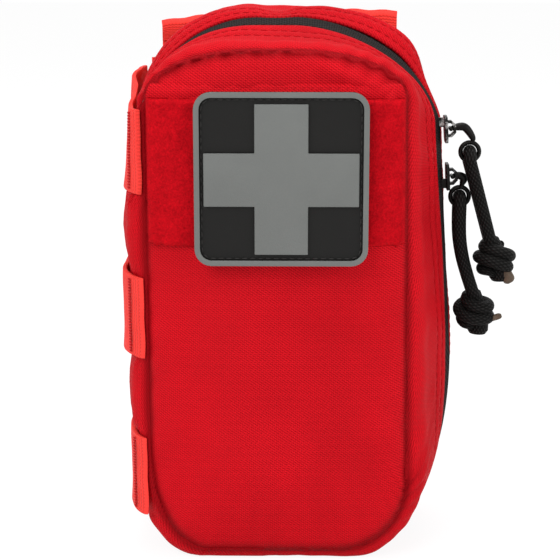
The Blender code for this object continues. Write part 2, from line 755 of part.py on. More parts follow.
def patch(coll, hook, black, grey):
    hook_at = PATCH_HOOK_T / 2
    base_at = PATCH_HOOK_T + GAP + PATCH_BASE_T / 2
    raised_at = PATCH_HOOK_T + GAP + PATCH_BASE_T + GAP + PATCH_RAISED_T / 2
    small = PATCH_SIZE - 0.0016
    back = [rounded(small, small, PATCH_CORNER - 0.0008)]
    flat("patch_hook", back, PATCH_HOOK_T, coll, hook, patch_frame(hook_at))
    flat("patch_base", [rounded(PATCH_SIZE, PATCH_SIZE, PATCH_CORNER)], PATCH_BASE_T, coll, black, patch_frame(base_at))
    inner = PATCH_SIZE - 2 * PATCH_BORDER_W
    loops = [rounded(PATCH_SIZE, PATCH_SIZE, PATCH_CORNER), rounded(inner, inner, PATCH_CORNER - PATCH_BORDER_W)[::-1]]
    flat("patch_border", loops, PATCH_RAISED_T, coll, grey, patch_frame(raised_at))
    a, w, h = CROSS_ARM / 2, CROSS_W / 2, CROSS_H / 2
    plus = [(a, a), (w, a), (w, -a), (a, -a), (a, -h), (-a, -h), (-a, -a), (-w, -a), (-w, a), (-a, a), (-a, h), (a, h)]
    flat("patch_cross", [plus], PATCH_RAISED_T, coll, grey, patch_frame(raised_at))


# ---------------------------------------------------------------- sliders and pulls
RUN_TOP = Vector((ZIP_RIGHT_TOP, 0, ZIP_TOP - ZIP_CORNERS[1][1]))
RUN_FOOT = Vector((ZIP_RIGHT_BOTTOM, 0, ZIP_BOTTOM + ZIP_CORNERS[2][1]))
RUN_UP = (RUN_TOP - RUN_FOOT).normalized()
RUN_OUT = Vector((0, 1, 0)).cross(RUN_UP)
PLATE_IN = -(FABRIC_T + GAP + TAPE_T + 2 * GAP)  # the inner plate's upper side
PIN_OUT = GAP + SLIDER_PLATE_T + GAP + ARM_R     # the pull's pin above the cloth
BRIDGE_IN = PIN_OUT + PIN_R + GAP                # the bridge's underside above the cloth


def run_point(z):
    return RUN_TOP + (RUN_FOOT - RUN_TOP) * ((RUN_TOP.z - z) / (RUN_TOP.z - RUN_FOOT.z))


def slider_frame(z, out):
    """x across the zip, y up along it, z out of the cloth."""
    return frame_of((0, 1, 0), RUN_UP, RUN_OUT, run_point(z) + RUN_OUT * out)


def slider(name, z, flip, coll, mat):
    """A zip slider: two plates held by a post in the slot between the coils, and a bridge over the outer plate."""
    w, l = SLIDER_W / 2, SLIDER_L / 2
    shape = [(w * 0.62, -l), (w * 0.9, -l * 0.7), (w, -l * 0.1), (w, l * 0.5), (w * 0.8, l * 0.92), (w * 0.4, l)]
    shape = [(x, flip * y) for x, y in shape]
    shape = shape + [(-x, y) for x, y in reversed(shape)]
    if flip < 0:
        shape = shape[::-1]
    outer = flat(name, [shape], SLIDER_PLATE_T, coll, mat, slider_frame(z, GAP + SLIDER_PLATE_T / 2))
    inner_plate = [(x * 0.92, y * 0.94) for x, y in shape]
    inner = flat("inner", [inner_plate], SLIDER_PLATE_T, coll, None, slider_frame(z, PLATE_IN - SLIDER_PLATE_T / 2))
    tall = GAP + SLIDER_PLATE_T / 2 - (PLATE_IN - SLIDER_PLATE_T / 2)
    post = flat("post", [[(SLIDER_POST_W / 2, flip * 0.0012), (0, flip * 0.0006), (-SLIDER_POST_W / 2, flip * 0.0012),
                          (-SLIDER_POST_W / 2, flip * 0.0036), (SLIDER_POST_W / 2, flip * 0.0036)]],
                tall, coll, None, slider_frame(z, GAP + SLIDER_PLATE_T / 2 - tall / 2))
    top = BRIDGE_IN
    low = GAP + SLIDER_PLATE_T / 2
    end = BRIDGE_L / 2
    path = [(-end, low), (-end, top - 0.0009), (-end + 0.0009, top), (end - 0.0009, top), (end, top - 0.0009), (end, low)]
    f = slider_frame(z, 0)
    side = Matrix(((0, 0, 1, 0), (1, 0, 0, 0), (0, 1, 0, 0), (0, 0, 0, 1)))
    bridge = flat("bridge", [ribbon(path, BRIDGE_T)], BRIDGE_W, coll, None, f @ side)
    return join_solids(outer, [inner, post, bridge])


def stadium(a, b, r, steps=6):
    """The outline of a bar with round ends between two points of a plane."""
    a, b = Vector(a), Vector(b)
    d = (b - a).normalized()
    n = Vector((-d.y, d.x))
    pts = []
    for k in range(steps + 1):
        t = math.pi / 2 + math.pi * k / steps
        pts.append(tuple(a + d * r * math.cos(t) + n * r * math.sin(t)))
    for k in range(steps + 1):
        t = -math.pi / 2 + math.pi * k / steps
        pts.append(tuple(b + d * r * math.cos(t) + n * r * math.sin(t)))
    return pts


def pull(name, pin, elbow, ring_mid, coll, mat):
    """A pull: a pin under the bridge, two arms beside it, a neck and a ring for the cord, all along the X-Z plane."""
    def plane(y):
        return frame_of((1, 0, 0), (0, 0, 1), (0, -1, 0), (0, y, 0))

    size = RING_IN + 2 * RING_BAR
    outer = rounded(size, size, size / 2 - 0.00001, 7, ring_mid.x, ring_mid.z)
    inner = rounded(RING_IN, RING_IN, RING_IN / 2 - 0.00001, 7, ring_mid.x, ring_mid.z)
    ring = flat(name, [outer, inner[::-1]], RING_THICK, coll, mat, plane(0))
    top = (ring_mid.x, ring_mid.z + (RING_IN + RING_BAR) / 2)
    neck = flat("neck", [stadium(elbow, top, RING_BAR / 2)], RING_THICK * 0.9, coll, None, plane(0))
    arm = BRIDGE_W / 2 + GAP
    thick = 0.0011
    parts = [neck]
    for s in (-1, 1):
        loop = stadium((pin.x, pin.z), elbow, ARM_R)
        parts.append(flat("arm", [loop], thick, coll, None, plane(s * (arm + thick / 2))))
    wide = arm + thick - 0.0001
    parts.append(bar("pin", (pin.x, -wide, pin.z), (pin.x, wide, pin.z), PIN_R, coll, 12))
    parts.append(bar("elbow", (elbow[0], -wide, elbow[1]), (elbow[0], wide, elbow[1]), ARM_R * 0.97, coll, 12))
    return join_solids(ring, parts)


def cord(name, points, coll, mat):
    """A round cord through the points."""
    line = smooth(points, 2)
    cu = bpy.data.curves.new(name, "CURVE")
    cu.dimensions = "3D"
    cu.bevel_depth = CORD_D / 2
    cu.bevel_resolution = 2
    cu.use_fill_caps = True
    sp = cu.splines.new("POLY")
    sp.points.add(len(line) - 1)
    for p, q in zip(sp.points, line):
        p.co = (*q, 1.0)
    tmp = bpy.data.objects.new(name + "_curve", cu)
    coll.objects.link(tmp)
    return settle(name, tmp, coll, mat, None)


def smooth(points, steps):
    """Points along a smooth curve through the given ones."""
    pts = [Vector(p) for p in points]
    out = []
    for i in range(len(pts) - 1):
        a = pts[max(i - 1, 0)]
        b, c = pts[i], pts[i + 1]
        d = pts[min(i + 2, len(pts) - 1)]
        for k in range(steps):
            t = k / steps
            out.append(
                0.5 * ((2 * b) + (c - a) * t + (2 * a - 5 * b + 4 * c - d) * t ** 2 + (3 * b - a - 3 * c + d) * t ** 3)
            )
    out.append(pts[-1])
    return out


def ring_of_cord(name, major, minor, coll, place):
    """One turn of a knot."""
    bpy.ops.mesh.primitive_torus_add(major_segments=18, minor_segments=8, major_radius=major, minor_radius=minor)
    o = bpy.context.active_object
    o.name = name
    for c in list(o.users_collection):
        c.objects.unlink(o)
    coll.objects.link(o)
    o.matrix_world = place
    return o


# each turn of a knot: its height in cord diameters, its tilt and the way it leans, in degrees
KNOT_TURNS = ((0.85, 14, 20), (-0.10, -22, 100), (-1.00, 16, 210))


def knot(name, centre, lean, coll, mat):
    """A tight overhand knot: a barrel of cord with three turns standing out of it."""
    bm = bmesh.new()
    bmesh.ops.create_uvsphere(bm, u_segments=16, v_segments=10, radius=0.5)
    bmesh.ops.scale(bm, vec=(KNOT_W * 0.80, KNOT_W * 0.80, KNOT_H), verts=bm.verts)
    me = bpy.data.meshes.new(name)
    bm.to_mesh(me)
    bm.free()
    turn = Matrix.Rotation(math.radians(lean), 4, "Y")
    core = add(name, me, coll, mat, Matrix.Translation(centre) @ turn)
    wraps = []
    thick = CORD_D * 0.46
    for k, (rise, tilt, way) in enumerate(KNOT_TURNS):
        place = Matrix.Translation(centre) @ turn @ Matrix.Rotation(math.radians(way), 4, "Z")
        place = place @ Matrix.Translation((0, 0, rise * CORD_D)) @ Matrix.Rotation(math.radians(tilt), 4, "X")
        major = KNOT_W / 2 - thick - abs(rise) * CORD_D * 0.16
        wraps.append(ring_of_cord("wrap%d" % k, major, thick, coll, place))
    return join_solids(core, wraps)


def pull_set(which, coll, metal, dark, rope):
    """Slider, pull, cord loop and knot, in the pose they hang in."""
    upper = which == "upper"
    z = SLIDER_UPPER_Z if upper else SLIDER_LOWER_Z
    slider("slider_" + which, z, 1 if upper else -1, coll, metal)
    pin = run_point(z) + RUN_OUT * PIN_OUT
    if upper:
        elbow = (pin.x + UPPER_ELBOW_X, pin.z - UPPER_ELBOW_DROP)
        ring_mid = pin + Vector((UPPER_RING_X, 0, -UPPER_RING_DROP))
        knot_at = pin + Vector((UPPER_KNOT_X, 0, -UPPER_KNOT_DROP))
    else:
        elbow = (pin.x + LOWER_ELBOW_X, pin.z - LOWER_ELBOW_DROP)
        ring_mid = pin + Vector((LOWER_RING_X, 0, -LOWER_RING_DROP))
        knot_at = pin + Vector((LOWER_KNOT_X, 0, -LOWER_KNOT_DROP))
    bow = UPPER_BOW if upper else LOWER_BOW
    ring = pull("pull_" + which, pin, elbow, ring_mid, coll, dark)
    set_origin(ring, pin)
    bar_mid = ring_mid - Vector((0, 0, (RING_IN + RING_BAR) / 2))   # the part of the ring that the cord hangs on
    around = RING_THICK / 2 + CORD_D / 2 + GAP                       # radius of the cord's bend round the bar
    knot_top = knot_at + (bar_mid - knot_at).normalized() * (KNOT_H / 2 + GAP)
    to = knot_top - bar_mid
    legs = []
    for s in (-1, 1):
        leg = []
        for t, w in ((1.0, 0.59), (0.86, 0.60), (0.68, 0.64), (0.50, 0.69), (0.34, 0.73)):
            leg.append(bar_mid + to * t + Vector((-bow * math.sin(math.pi * t), s * w * CORD_D, 0)))
        leg.append(bar_mid + to * 0.17 + Vector((-bow * 0.5, s * around, 0)))
        for a in (90, 67, 45, 22):
            t = math.radians(a)
            leg.append(bar_mid + Vector((0, s * around * math.sin(t), around * math.cos(t))))
        legs.append(leg)
    pts = legs[0] + [bar_mid + Vector((0, 0, around))] + legs[1][::-1]
    lean = -math.degrees(math.atan2(to.x, -to.z))
    cord_o = cord("cord_" + which, pts, coll, rope)
    knot_o = knot("knot_" + which, knot_at, lean, coll, rope)
    set_origin(cord_o, bar_mid)
    set_origin(knot_o, bar_mid)


# ---------------------------------------------------------------- inside
def back_panel(coll, mat):
    edge = panel_edge(BACK_LINE, BACK_DEPTH)
    place = frame_of((1, 0, 0), (0, 0, 1), (0, -1, 0), (0, BACK_DEPTH - FABRIC_T / 2, 0))
    return flat("back_panel", [[(p.x, p.y) for p in edge]], FABRIC_T, coll, mat, place)


def insides(coll, band, mesh_cloth, gauze, paper):
    inner = BACK_DEPTH - FABRIC_T - GAP
    # elastic band over two bandage rolls
    r = ROLL_R + GAP
    roll_y = inner - ROLL_R
    foot = ROLL_X + r
    path = [(-foot - BAND_TAB, inner), (-foot - BAND_SLACK, inner)]
    for c in (-ROLL_X, ROLL_X):
        for k in range(9):
            a = math.radians(185 + 170 * k / 8)
            path.append((c + r * math.cos(a), roll_y + r * math.sin(a)))
        if c < 0:
            path += [(r - ROLL_X + BAND_MIDDLE, inner), (ROLL_X - r - BAND_MIDDLE, inner)]
    path += [(foot + BAND_SLACK, inner), (foot + BAND_TAB, inner)]
    flat("elastic_band", [ribbon(path, -LINING_T)], BAND_W, coll, band, Matrix.Translation((0, 0, ROLL_Z)))
    for side, name in ((-1, "bandage_roll_left"), (1, "bandage_roll_right")):
        h = ROLL_H / 2
        floor = h - ROLL_CORE_DEEP
        half = [(0, floor), (ROLL_CORE_R, floor), (ROLL_CORE_R + ROLL_CORE_DEEP / 2, h)]
        half += [(ROLL_R - ROLL_EDGE, h), (ROLL_R, h - ROLL_EDGE)]
        profile = half + [(x, -z) for x, z in reversed(half)]
        turned(name, profile, 28, coll, gauze, Matrix.Translation((side * ROLL_X, roll_y, ROLL_Z)))
    # slip pocket at the foot of the back half, with a pack of gauze in it
    wide = SLIP_W / 2
    low = inner - SLIP_DEEP
    path = [(-wide, inner), (-wide + SLIP_SLANT, low), (wide - SLIP_SLANT, low), (wide, inner)]
    flat("slip_pocket", [ribbon(path, -LINING_T)], SLIP_H, coll, band, Matrix.Translation((0, 0, SLIP_Z)))
    foot = SLIP_Z - SLIP_H / 2 + SLIP_ROOM
    low = (-GAUZE_W / 2, inner - SLIP_DEEP + 2 * GAP, foot)
    high = (GAUZE_W / 2, inner - GAP, foot + GAUZE_H)
    box("gauze_pack", low, high, coll, gauze, GAUZE_EDGE)
    # flat pocket on the lid with a pack of plasters in it
    lid_in = -(FRONT_DEPTH + CROWN) + FABRIC_T
    end = lid_in + LID_POCKET_START
    top = lid_in + LID_POCKET_DEEP
    wide = LID_POCKET_W / 2
    slant = LID_POCKET_SLANT
    path = [(-wide, end), (-wide + slant, top), (wide - slant, top), (wide, end)]
    flat("lid_pocket", [ribbon(path, LINING_T)], LID_POCKET_H, coll, mesh_cloth, Matrix.Translation((0, 0, LID_POCKET_Z)))
    foot = LID_POCKET_Z - LID_POCKET_H / 2 + LID_POCKET_ROOM
    low = (-PLASTER_W / 2, lid_in + PLASTER_OFF, foot)
    high = (PLASTER_W / 2, top - 2 * GAP, foot + PLASTER_H)
    box("plaster_pack", low, high, coll, paper, PLASTER_EDGE)


# ---------------------------------------------------------------- build
def build():
    wipe()
    coll = collection("first_aid_kit")
    cloth = material("red_cloth", RED, 0.85)
    web = material("red_webbing", RED_WEB, 0.80)
    loops = material("red_loop", RED_LOOP, 0.95)
    tape = material("zip_tape", CHARCOAL, 0.80)
    coil = material("zip_coil", BLACK, 0.50)
    bind = material("binding", LINING, 0.80)
    hook = material("patch_hook", BLACK, 0.90)
    soft_black = material("patch_black", BLACK, 0.55)
    soft_grey = material("patch_grey", GREY, 0.50)
    metal = material("slider_metal", CHARCOAL, 0.40, 0.8)
    dark = material("pull_metal", BLACK, 0.40, 0.6)
    rope = material("cord_black", BLACK, 0.75)
    snap = material("snap_metal", STEEL, 0.30, 1.0)
    gauze = material("gauze_white", WHITE, 0.90)
    paper = material("paper_white", WHITE, 0.60)

    # the back half, which the kit is carried by
    gusset("back_gusset", BACK_LINE, BACK_DEPTH, 1, coll, cloth)
    back_panel(coll, cloth)
    binding("back_binding", BACK_LINE, BACK_DEPTH, 1, coll, bind)
    # the front half, which swings open like a book
    gusset("front_gusset", FRONT_LINE, FRONT_DEPTH, -1, coll, cloth)
    front_panel(coll, cloth)
    binding("front_binding", FRONT_LINE, FRONT_DEPTH, -1, coll, bind)
    loop_field(coll, loops)
    for seam, depth, sign, side in ((BACK_LINE, BACK_DEPTH, 1, "back"), (FRONT_LINE, FRONT_DEPTH, -1, "front")):
        low = ZIP_OPEN / 2
        zip_strip("zip_tape_" + side, seam, depth, sign, low, low + TAPE_W, FABRIC_T + GAP, TAPE_T, coll, tape)
        edge = ZIP_SLOT / 2
        deep = FABRIC_T + GAP - COIL_PROUD
        thick = TAPE_T + COIL_PROUD
        zip_strip("zip_coil_" + side, seam, depth, sign, edge, edge + COIL_W, deep, thick, coll, coil, 1)
    for k in range(3):
        side_row(k, -1, coll, web)
        side_row(k, 1, coll, web)
        back_row(k, coll, web)
    for side in (-1, 1):
        strap(side, coll, web)
        tail = strap_tail(side, coll, web)
        snap_stud(side, coll, snap)
        cap = snap_cap(side, coll, snap)
        hinge = (side * STRAP_X, STRAP_Y + WEB_T, STRAP_END)
        set_origin(tail, hinge)
        set_origin(cap, hinge)
    patch(coll, hook, soft_black, soft_grey)
    for which in ("upper", "lower"):
        pull_set(which, coll, metal, dark, rope)
    insides(coll, bind, tape, gauze, paper)
    for name in ("front_gusset", "front_panel", "front_binding", "loop_field", "zip_tape_front", "zip_coil_front",
                 "side_row_front_1", "side_row_front_2", "side_row_front_3", "lid_pocket", "plaster_pack"):
        set_origin(bpy.data.objects[name], (HINGE_X, 0, 0))
    for o in coll.objects:
        o.data.shade_smooth()
        o.data.set_sharp_from_angle(angle=math.radians(35))


build()
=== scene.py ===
"""Looks of a soft first aid pouch: sewn cloth case, webbing, zip with corded pulls and a moulded cross patch.

Origin at the middle of the base, +Z up, the front faces -Y. Lengths in metres.
"""

import json
import math

import bmesh
import bpy
from bpy.props import FloatProperty, FloatVectorProperty, IntProperty, PointerProperty
from mathutils import Matrix, Vector, noise

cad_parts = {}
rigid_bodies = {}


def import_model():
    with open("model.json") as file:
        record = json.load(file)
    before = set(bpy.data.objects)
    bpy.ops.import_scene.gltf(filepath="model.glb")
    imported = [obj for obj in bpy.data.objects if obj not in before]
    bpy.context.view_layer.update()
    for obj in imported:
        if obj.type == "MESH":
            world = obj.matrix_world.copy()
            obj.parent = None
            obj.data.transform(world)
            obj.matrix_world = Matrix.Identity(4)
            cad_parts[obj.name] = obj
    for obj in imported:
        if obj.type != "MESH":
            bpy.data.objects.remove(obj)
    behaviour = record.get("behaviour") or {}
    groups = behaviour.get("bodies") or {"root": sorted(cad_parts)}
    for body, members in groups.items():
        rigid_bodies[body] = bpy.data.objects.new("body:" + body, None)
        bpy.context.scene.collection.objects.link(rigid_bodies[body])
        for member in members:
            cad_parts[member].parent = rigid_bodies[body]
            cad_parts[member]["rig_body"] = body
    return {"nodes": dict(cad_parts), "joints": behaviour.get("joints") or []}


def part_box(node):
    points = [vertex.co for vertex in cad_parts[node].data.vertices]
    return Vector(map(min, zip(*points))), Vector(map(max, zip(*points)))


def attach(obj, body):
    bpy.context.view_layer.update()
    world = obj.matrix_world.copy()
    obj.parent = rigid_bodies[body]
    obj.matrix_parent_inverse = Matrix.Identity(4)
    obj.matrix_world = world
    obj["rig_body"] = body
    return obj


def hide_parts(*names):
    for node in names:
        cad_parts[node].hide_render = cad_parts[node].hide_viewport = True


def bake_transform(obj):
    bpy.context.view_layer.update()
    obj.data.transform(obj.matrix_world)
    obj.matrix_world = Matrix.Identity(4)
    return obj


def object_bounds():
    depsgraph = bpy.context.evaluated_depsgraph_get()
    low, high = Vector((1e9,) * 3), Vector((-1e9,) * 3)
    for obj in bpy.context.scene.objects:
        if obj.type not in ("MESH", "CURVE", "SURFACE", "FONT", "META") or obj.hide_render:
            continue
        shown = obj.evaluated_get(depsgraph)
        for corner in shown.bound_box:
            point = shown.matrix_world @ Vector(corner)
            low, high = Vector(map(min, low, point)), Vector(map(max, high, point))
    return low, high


bl_info = {
    "name": "First Aid Pouch",
    "version": (1, 0, 0),
    "blender": (4, 5, 0),
    "location": "3D View > Sidebar > Pouch",
    "description": "Builds the cloth, webbing, zip, cords and patch of a soft first aid pouch",
    "category": "Object",
}

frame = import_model()
CAD_LOW, CAD_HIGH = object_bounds()


# ---------------------------------------------------------------- sizes and colours
def metres(name, description, default):
    return FloatProperty(name=name, description=description, default=default, unit="LENGTH")


def tint(name, description, default):
    return FloatVectorProperty(name=name, description=description, default=default, subtype="COLOR")


def position(name, description, default):
    return FloatVectorProperty(name=name, description=description, default=default, subtype="TRANSLATION")


class PouchSizes(bpy.types.PropertyGroup):
    """Sizes of the sewn details."""
    cloth: metres("Cloth", "Thickness of the case cloth with its lining", 0.0012)
    webbing: metres("Webbing", "Thickness of the webbing", 0.0013)
    weave: metres("Weave", "Pitch of the case cloth's threads", 0.00064)
    pucker: metres("Pucker", "Depth of the puckers beside the seams", 0.00075)
    slack: metres("Slack", "Depth of the soft dents in the cloth", 0.0010)
    stitch: metres("Stitch", "Length of one stitch with its gap", 0.0030)
    cord: metres("Cord", "Thickness of the pull cords", 0.0040)
    steps: IntProperty(name="Steps", description="Points round each corner of the case", default=26, min=8)


class PouchColours(bpy.types.PropertyGroup):
    """Colours of the finishes."""
    cloth: tint("Cloth", "Case cloth", (0.530, 0.0036, 0.0095))
    webbing: tint("Webbing", "Webbing", (0.880, 0.0480, 0.0380))
    pile: tint("Pile", "Loop tape", (0.470, 0.0030, 0.0080))
    thread: tint("Thread", "Sewing thread", (0.400, 0.0060, 0.0100))
    tape: tint("Tape", "Zip tape", (0.017, 0.0150, 0.0148))
    black: tint("Black", "Patch field, cord and metal", (0.0108, 0.0104, 0.0098))
    grey: tint("Grey", "Raised part of the patch", (0.143, 0.149, 0.143))
    lining: tint("Lining", "Inside cloth", (0.070, 0.070, 0.072))
    gauze: tint("Gauze", "Dressings", (0.760, 0.750, 0.720))


class PouchStage(bpy.types.PropertyGroup):
    """Camera and light."""
    camera: position("Camera", "Place of the camera", (0.0074, -0.4760, 0.1990))
    target: position("Target", "Point that the camera looks at", (0.0006, 0.0, 0.0845))
    lens: FloatProperty(name="Lens", description="Focal length in millimetres", default=98.7)
    key: FloatProperty(name="Key", description="Power of the large lamp in front", default=9.5, unit="POWER")
    fill: FloatProperty(name="Fill", description="Strength of the plain surroundings", default=0.58)


def sizes():
    return bpy.context.scene.pouch_sizes


def colour_of(name):
    return tuple(getattr(bpy.context.scene.pouch_colours, name))


# ---------------------------------------------------------------- outlines of the case
CLEAR = 0.0003                          # between pieces that lie on each other
ZIP_EDGE = {-1: 0.0042, 1: 0.0030}      # from the zip to the cloth's edge, before (-1) and behind (1) it
STITCH_ROWS = {-1: (0.0030, 0.0068), 1: (0.0022, 0.0058)}      # from that edge
SEAM = {-1: 0.0270, 1: 0.0282}          # from the zip to the seams
CROWN = 0.0050                          # how far the front panel bulges
LEFT_PUFF = 0.0026                      # how far the left wall bulges between the side rows
BETWEEN_ROWS = (0.0525, 0.1030)
WEB_WIDTH = 0.0254
WEB_SIDE = 0.0254                       # from the middle of the back to a strap's middle
ROW_FRONT, ROW_BACK = -0.0268, 0.0273   # the side rows' ends
ROW_HALF = WEB_WIDTH / 2
ROW_SOFT = 0.0032                       # how far beside a row the wall is still pressed in
ROW_PLACES = 40
FLOOR_GAP = 0.0003
PANEL_REACH = 0.040                     # from the middle of a panel to its seam, for its relief
# left, right at the top, right below, foot and top, then each corner's width, height and power
CORNERS = {
    "zip": ((-0.0457, 0.0510, 0.0558, 0.0, 0.1673),
            ((0.040, 0.0408, 2.0), (0.046, 0.0343, 1.7), (0.030, 0.060, 2.25), (0.018, 0.024, 2.0))),
    "front": ((-0.0392, 0.0386, 0.0402, 0.0030, 0.1600),
              ((0.034, 0.014, 2.0), (0.034, 0.014, 2.0), (0.022, 0.022, 2.0), (0.018, 0.034, 2.0))),
    "back": ((-0.0420, 0.0420, 0.0420, 0.0, 0.1680),
             ((0.034, 0.030, 2.0), (0.034, 0.026, 2.0), (0.022, 0.024, 2.0), (0.018, 0.018, 2.0))),
}
LEFT, RIGHT, LEVEL = 20, 34, 16         # points along the straight sides


def ramp(value, low, high):
    """A smooth step from 0 to 1."""
    t = min(1.0, max(0.0, (value - low) / (high - low)))
    return t * t * (3 - 2 * t)


def hump(value, width):
    """A bell of height 1 round 0."""
    return math.exp(-(value / width) ** 2)


def side_of(y):
    return -1 if y < 0 else 1


def middle(node):
    low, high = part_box(node)
    return (low + high) / 2


def corner(centre, sx, sz, size, side_first):
    """Points round one corner of an outline."""
    rx, rz, power = size
    steps = sizes().steps
    made = []
    for k in range(1, steps + 1):
        a = math.pi / 2 * k / steps
        c, s = max(math.cos(a), 0.0), math.sin(a)
        if not side_first:
            c, s = s, c
        across, up = rx * c ** (2 / power), rz * s ** (2 / power)
        made.append(Vector((centre[0] + sx * across, centre[1] + sz * up)))
    return made


def run(a, b, steps):
    return [a.lerp(Vector(b), k / steps) for k in range(1, steps + 1)]


def outline(which):
    """The outline at the zip, the front seam or the back seam, clockwise from the foot of the left side."""
    (left, right_top, right_low, low, top), (tl, tr, br, bl) = CORNERS[which]
    pts = [Vector((left, low + bl[1]))]
    pts += run(pts[-1], (left, top - tl[1]), LEFT)
    pts += corner((left + tl[0], top - tl[1]), -1, 1, tl, True)
    pts += run(pts[-1], (right_top - tr[0], top), LEVEL)
    pts += corner((right_top - tr[0], top - tr[1]), 1, 1, tr, False)
    pts += run(pts[-1], (right_low, low + br[1]), RIGHT)
    pts += corner((right_low - br[0], low + br[1]), 1, -1, br, True)
    pts += run(pts[-1], (left + bl[0], low), LEVEL)
    pts += corner((left + bl[0], low + bl[1]), -1, -1, bl, False)
    return pts[:-1]


class CaseShape:
    """The case's outer surface, by a place along the outline and a depth from the zip."""

    def __init__(self):
        self.zip = outline("zip")
        self.seams = {-1: outline("front"), 1: outline("back")}
        self.count = len(self.zip)
        self.n = n = sizes().steps
        self.zip_first, self.zip_last = LEFT + n * 3 / 8, self.count - n
        self.top_left, self.top_right = LEFT + n * 0.6, LEFT + LEVEL + n * 1.5
        self.top = LEFT + n, LEFT + n + LEVEL
        self.right = LEFT + LEVEL + 2 * n, LEFT + LEVEL + 2 * n + RIGHT
        self.along = [0.0]
        for a, b in zip(self.zip, self.zip[1:] + self.zip[:1]):
            self.along.append(self.along[-1] + (b - a).length)
        self.rows = []
        depths = [ROW_FRONT + (ROW_BACK - ROW_FRONT) * m / ROW_PLACES for m in range(ROW_PLACES + 1)]
        for k in (1, 2, 3):
            mid = middle("side_row_front_%d" % k).z
            self.rows.append((mid, [self.outermost(y, mid) for y in depths]))

    def at(self, line, i):
        a = int(math.floor(i)) % self.count
        return line[a].lerp(line[(a + 1) % self.count], i - math.floor(i))

    def down_right(self, place):
        """From 0 to 1 over the upper part of the right side."""
        return ramp(place, self.right[0], self.right[0] + RIGHT * 0.6)

    def zip_edge(self, i, side):
        """How far the cloth's edge is from the middle of the zip."""
        place = i % self.count
        share = 0.55 + 0.45 * ramp(place, self.zip_first, self.top[0]) - 0.22 * self.down_right(place)
        if side < 0:
            share += 0.45 * hump(place - self.right[1] - 2, 5)
        return ZIP_EDGE[side] * share

    def length(self, i):
        """Distance along the zip line to place i."""
        turns, a = divmod(int(math.floor(i)), self.count)
        step = self.along[a + 1] - self.along[a]
        return turns * self.along[-1] + self.along[a] + step * (i - math.floor(i))

    def outermost(self, y, z):
        """How far out the left wall reaches at a depth, over the width of a row at height z."""
        best = 0.0
        walls = [self.free(i, y) for i in range(-self.n, LEFT + self.n + 1)]
        for level in (z - 0.0125, z, z + 0.0125):
            for a, b in zip(walls, walls[1:]):
                if (a.z - level) * (b.z - level) <= 0 and abs(a.z - b.z) > 1e-9:
                    best = min(best, a.x + (b.x - a.x) * (level - a.z) / (b.z - a.z))
        return best

    @staticmethod
    def row_rise(k, y):
        """How far the uppermost side row climbs to the rear."""
        return 0.0078 * ramp(y, -0.0150, 0.0240) if k == 1 else 0.0

    def row_x(self, k, y, above):
        """The inner face of a side row, by the depth and the height above the row's middle."""
        line = self.rows[k - 1][1]
        f = ROW_PLACES * min(1.0, max(0.0, (y - ROW_FRONT) / (ROW_BACK - ROW_FRONT)))
        m = min(int(f), ROW_PLACES - 1)
        pulled_in = {1: 0.0012 + 0.0018 * (above / WEB_WIDTH + 0.5), 2: 0.0, 3: 0.0014}[k]
        inner = 1 - ramp(-y, 0.0150, -ROW_FRONT) - ramp(y, 0.0180, ROW_BACK)
        return line[m] + (line[m + 1] - line[m]) * (f - m) - CLEAR + pulled_in * inner

    def held(self, i, y, z):
        """Which side row lies over a point of the wall, how much, and the height above the row's middle."""
        if self.top[0] < i % self.count < self.count - self.n:
            return None
        for k, (mid, _) in enumerate(self.rows, 1):
            above = z - mid - self.row_rise(k, y)
            if abs(above) < ROW_HALF + ROW_SOFT:
                share = 1 - ramp(abs(above), ROW_HALF + 0.0006, ROW_HALF + ROW_SOFT)
                share *= ramp(y, -SEAM[-1], ROW_FRONT) * (1 - ramp(y, ROW_BACK, SEAM[1]))
                return k, share, above
        return None

    def bare(self, i, y):
        """A point of the wall with no wrinkles, pressed in under the side rows."""
        p = self.free(i, y)
        held = self.held(i, y, p.z)
        if held:
            k, share, above = held
            p.x += max(0.0, self.row_x(k, y, above) + 0.0005 - p.x) * share
        return p

    def free(self, i, y):
        """A point of the wall with nothing sewn on, y before or behind the zip."""
        side, n, place = side_of(y), self.n, i % self.count
        share = min(1.0, abs(y) / SEAM[side])
        wide = (1 - share ** 3.0) ** (1 / 1.3)
        seam_point, zip_point = self.at(self.seams[side], i), self.at(self.zip, i)
        if side < 0:
            # the front half slopes away from the zip over the top and down the right side
            lean = ramp(place, LEFT + 0.2 * n, self.top[0] + 2)
            lean *= 1 - ramp(place, self.right[1] - 4, self.right[1] + n)
            lean *= 1 - 0.35 * self.down_right(place)
            bend = 1.75 - 0.6 * ramp(place, self.top[1], self.right[0])
            wide += ((1 - share) ** bend - wide) * lean
            p = seam_point.lerp(zip_point, wide)
        else:
            # the back half stands out beyond the zip, most of all at the upper corners
            swell = 0.0007 * ramp(place, LEFT, self.top[0])
            swell *= 1 - ramp(place, self.top[1], self.top_right)
            swell += 0.0030 * hump(place - self.top_left, n * 0.42)
            swell += 0.0066 * hump(place - self.top_right, n * (0.45 if place < self.top_right else 0.17))
            along = self.at(self.zip, i + 0.8) - self.at(self.zip, i - 0.8)
            out = Vector((-along.y, along.x)).normalized()
            p = seam_point.lerp(zip_point, wide) + out * swell * math.sin(math.pi * share ** 0.8) ** 2
        if place < self.top_left or place > self.count - n:
            belly = math.cos(math.pi / 2 * share) ** 0.8
            p = p - Vector((LEFT_PUFF, 0)) * belly * sum(hump(p.y - z, 0.0120) for z in BETWEEN_ROWS)
        return Vector((p.x, y, p.y))

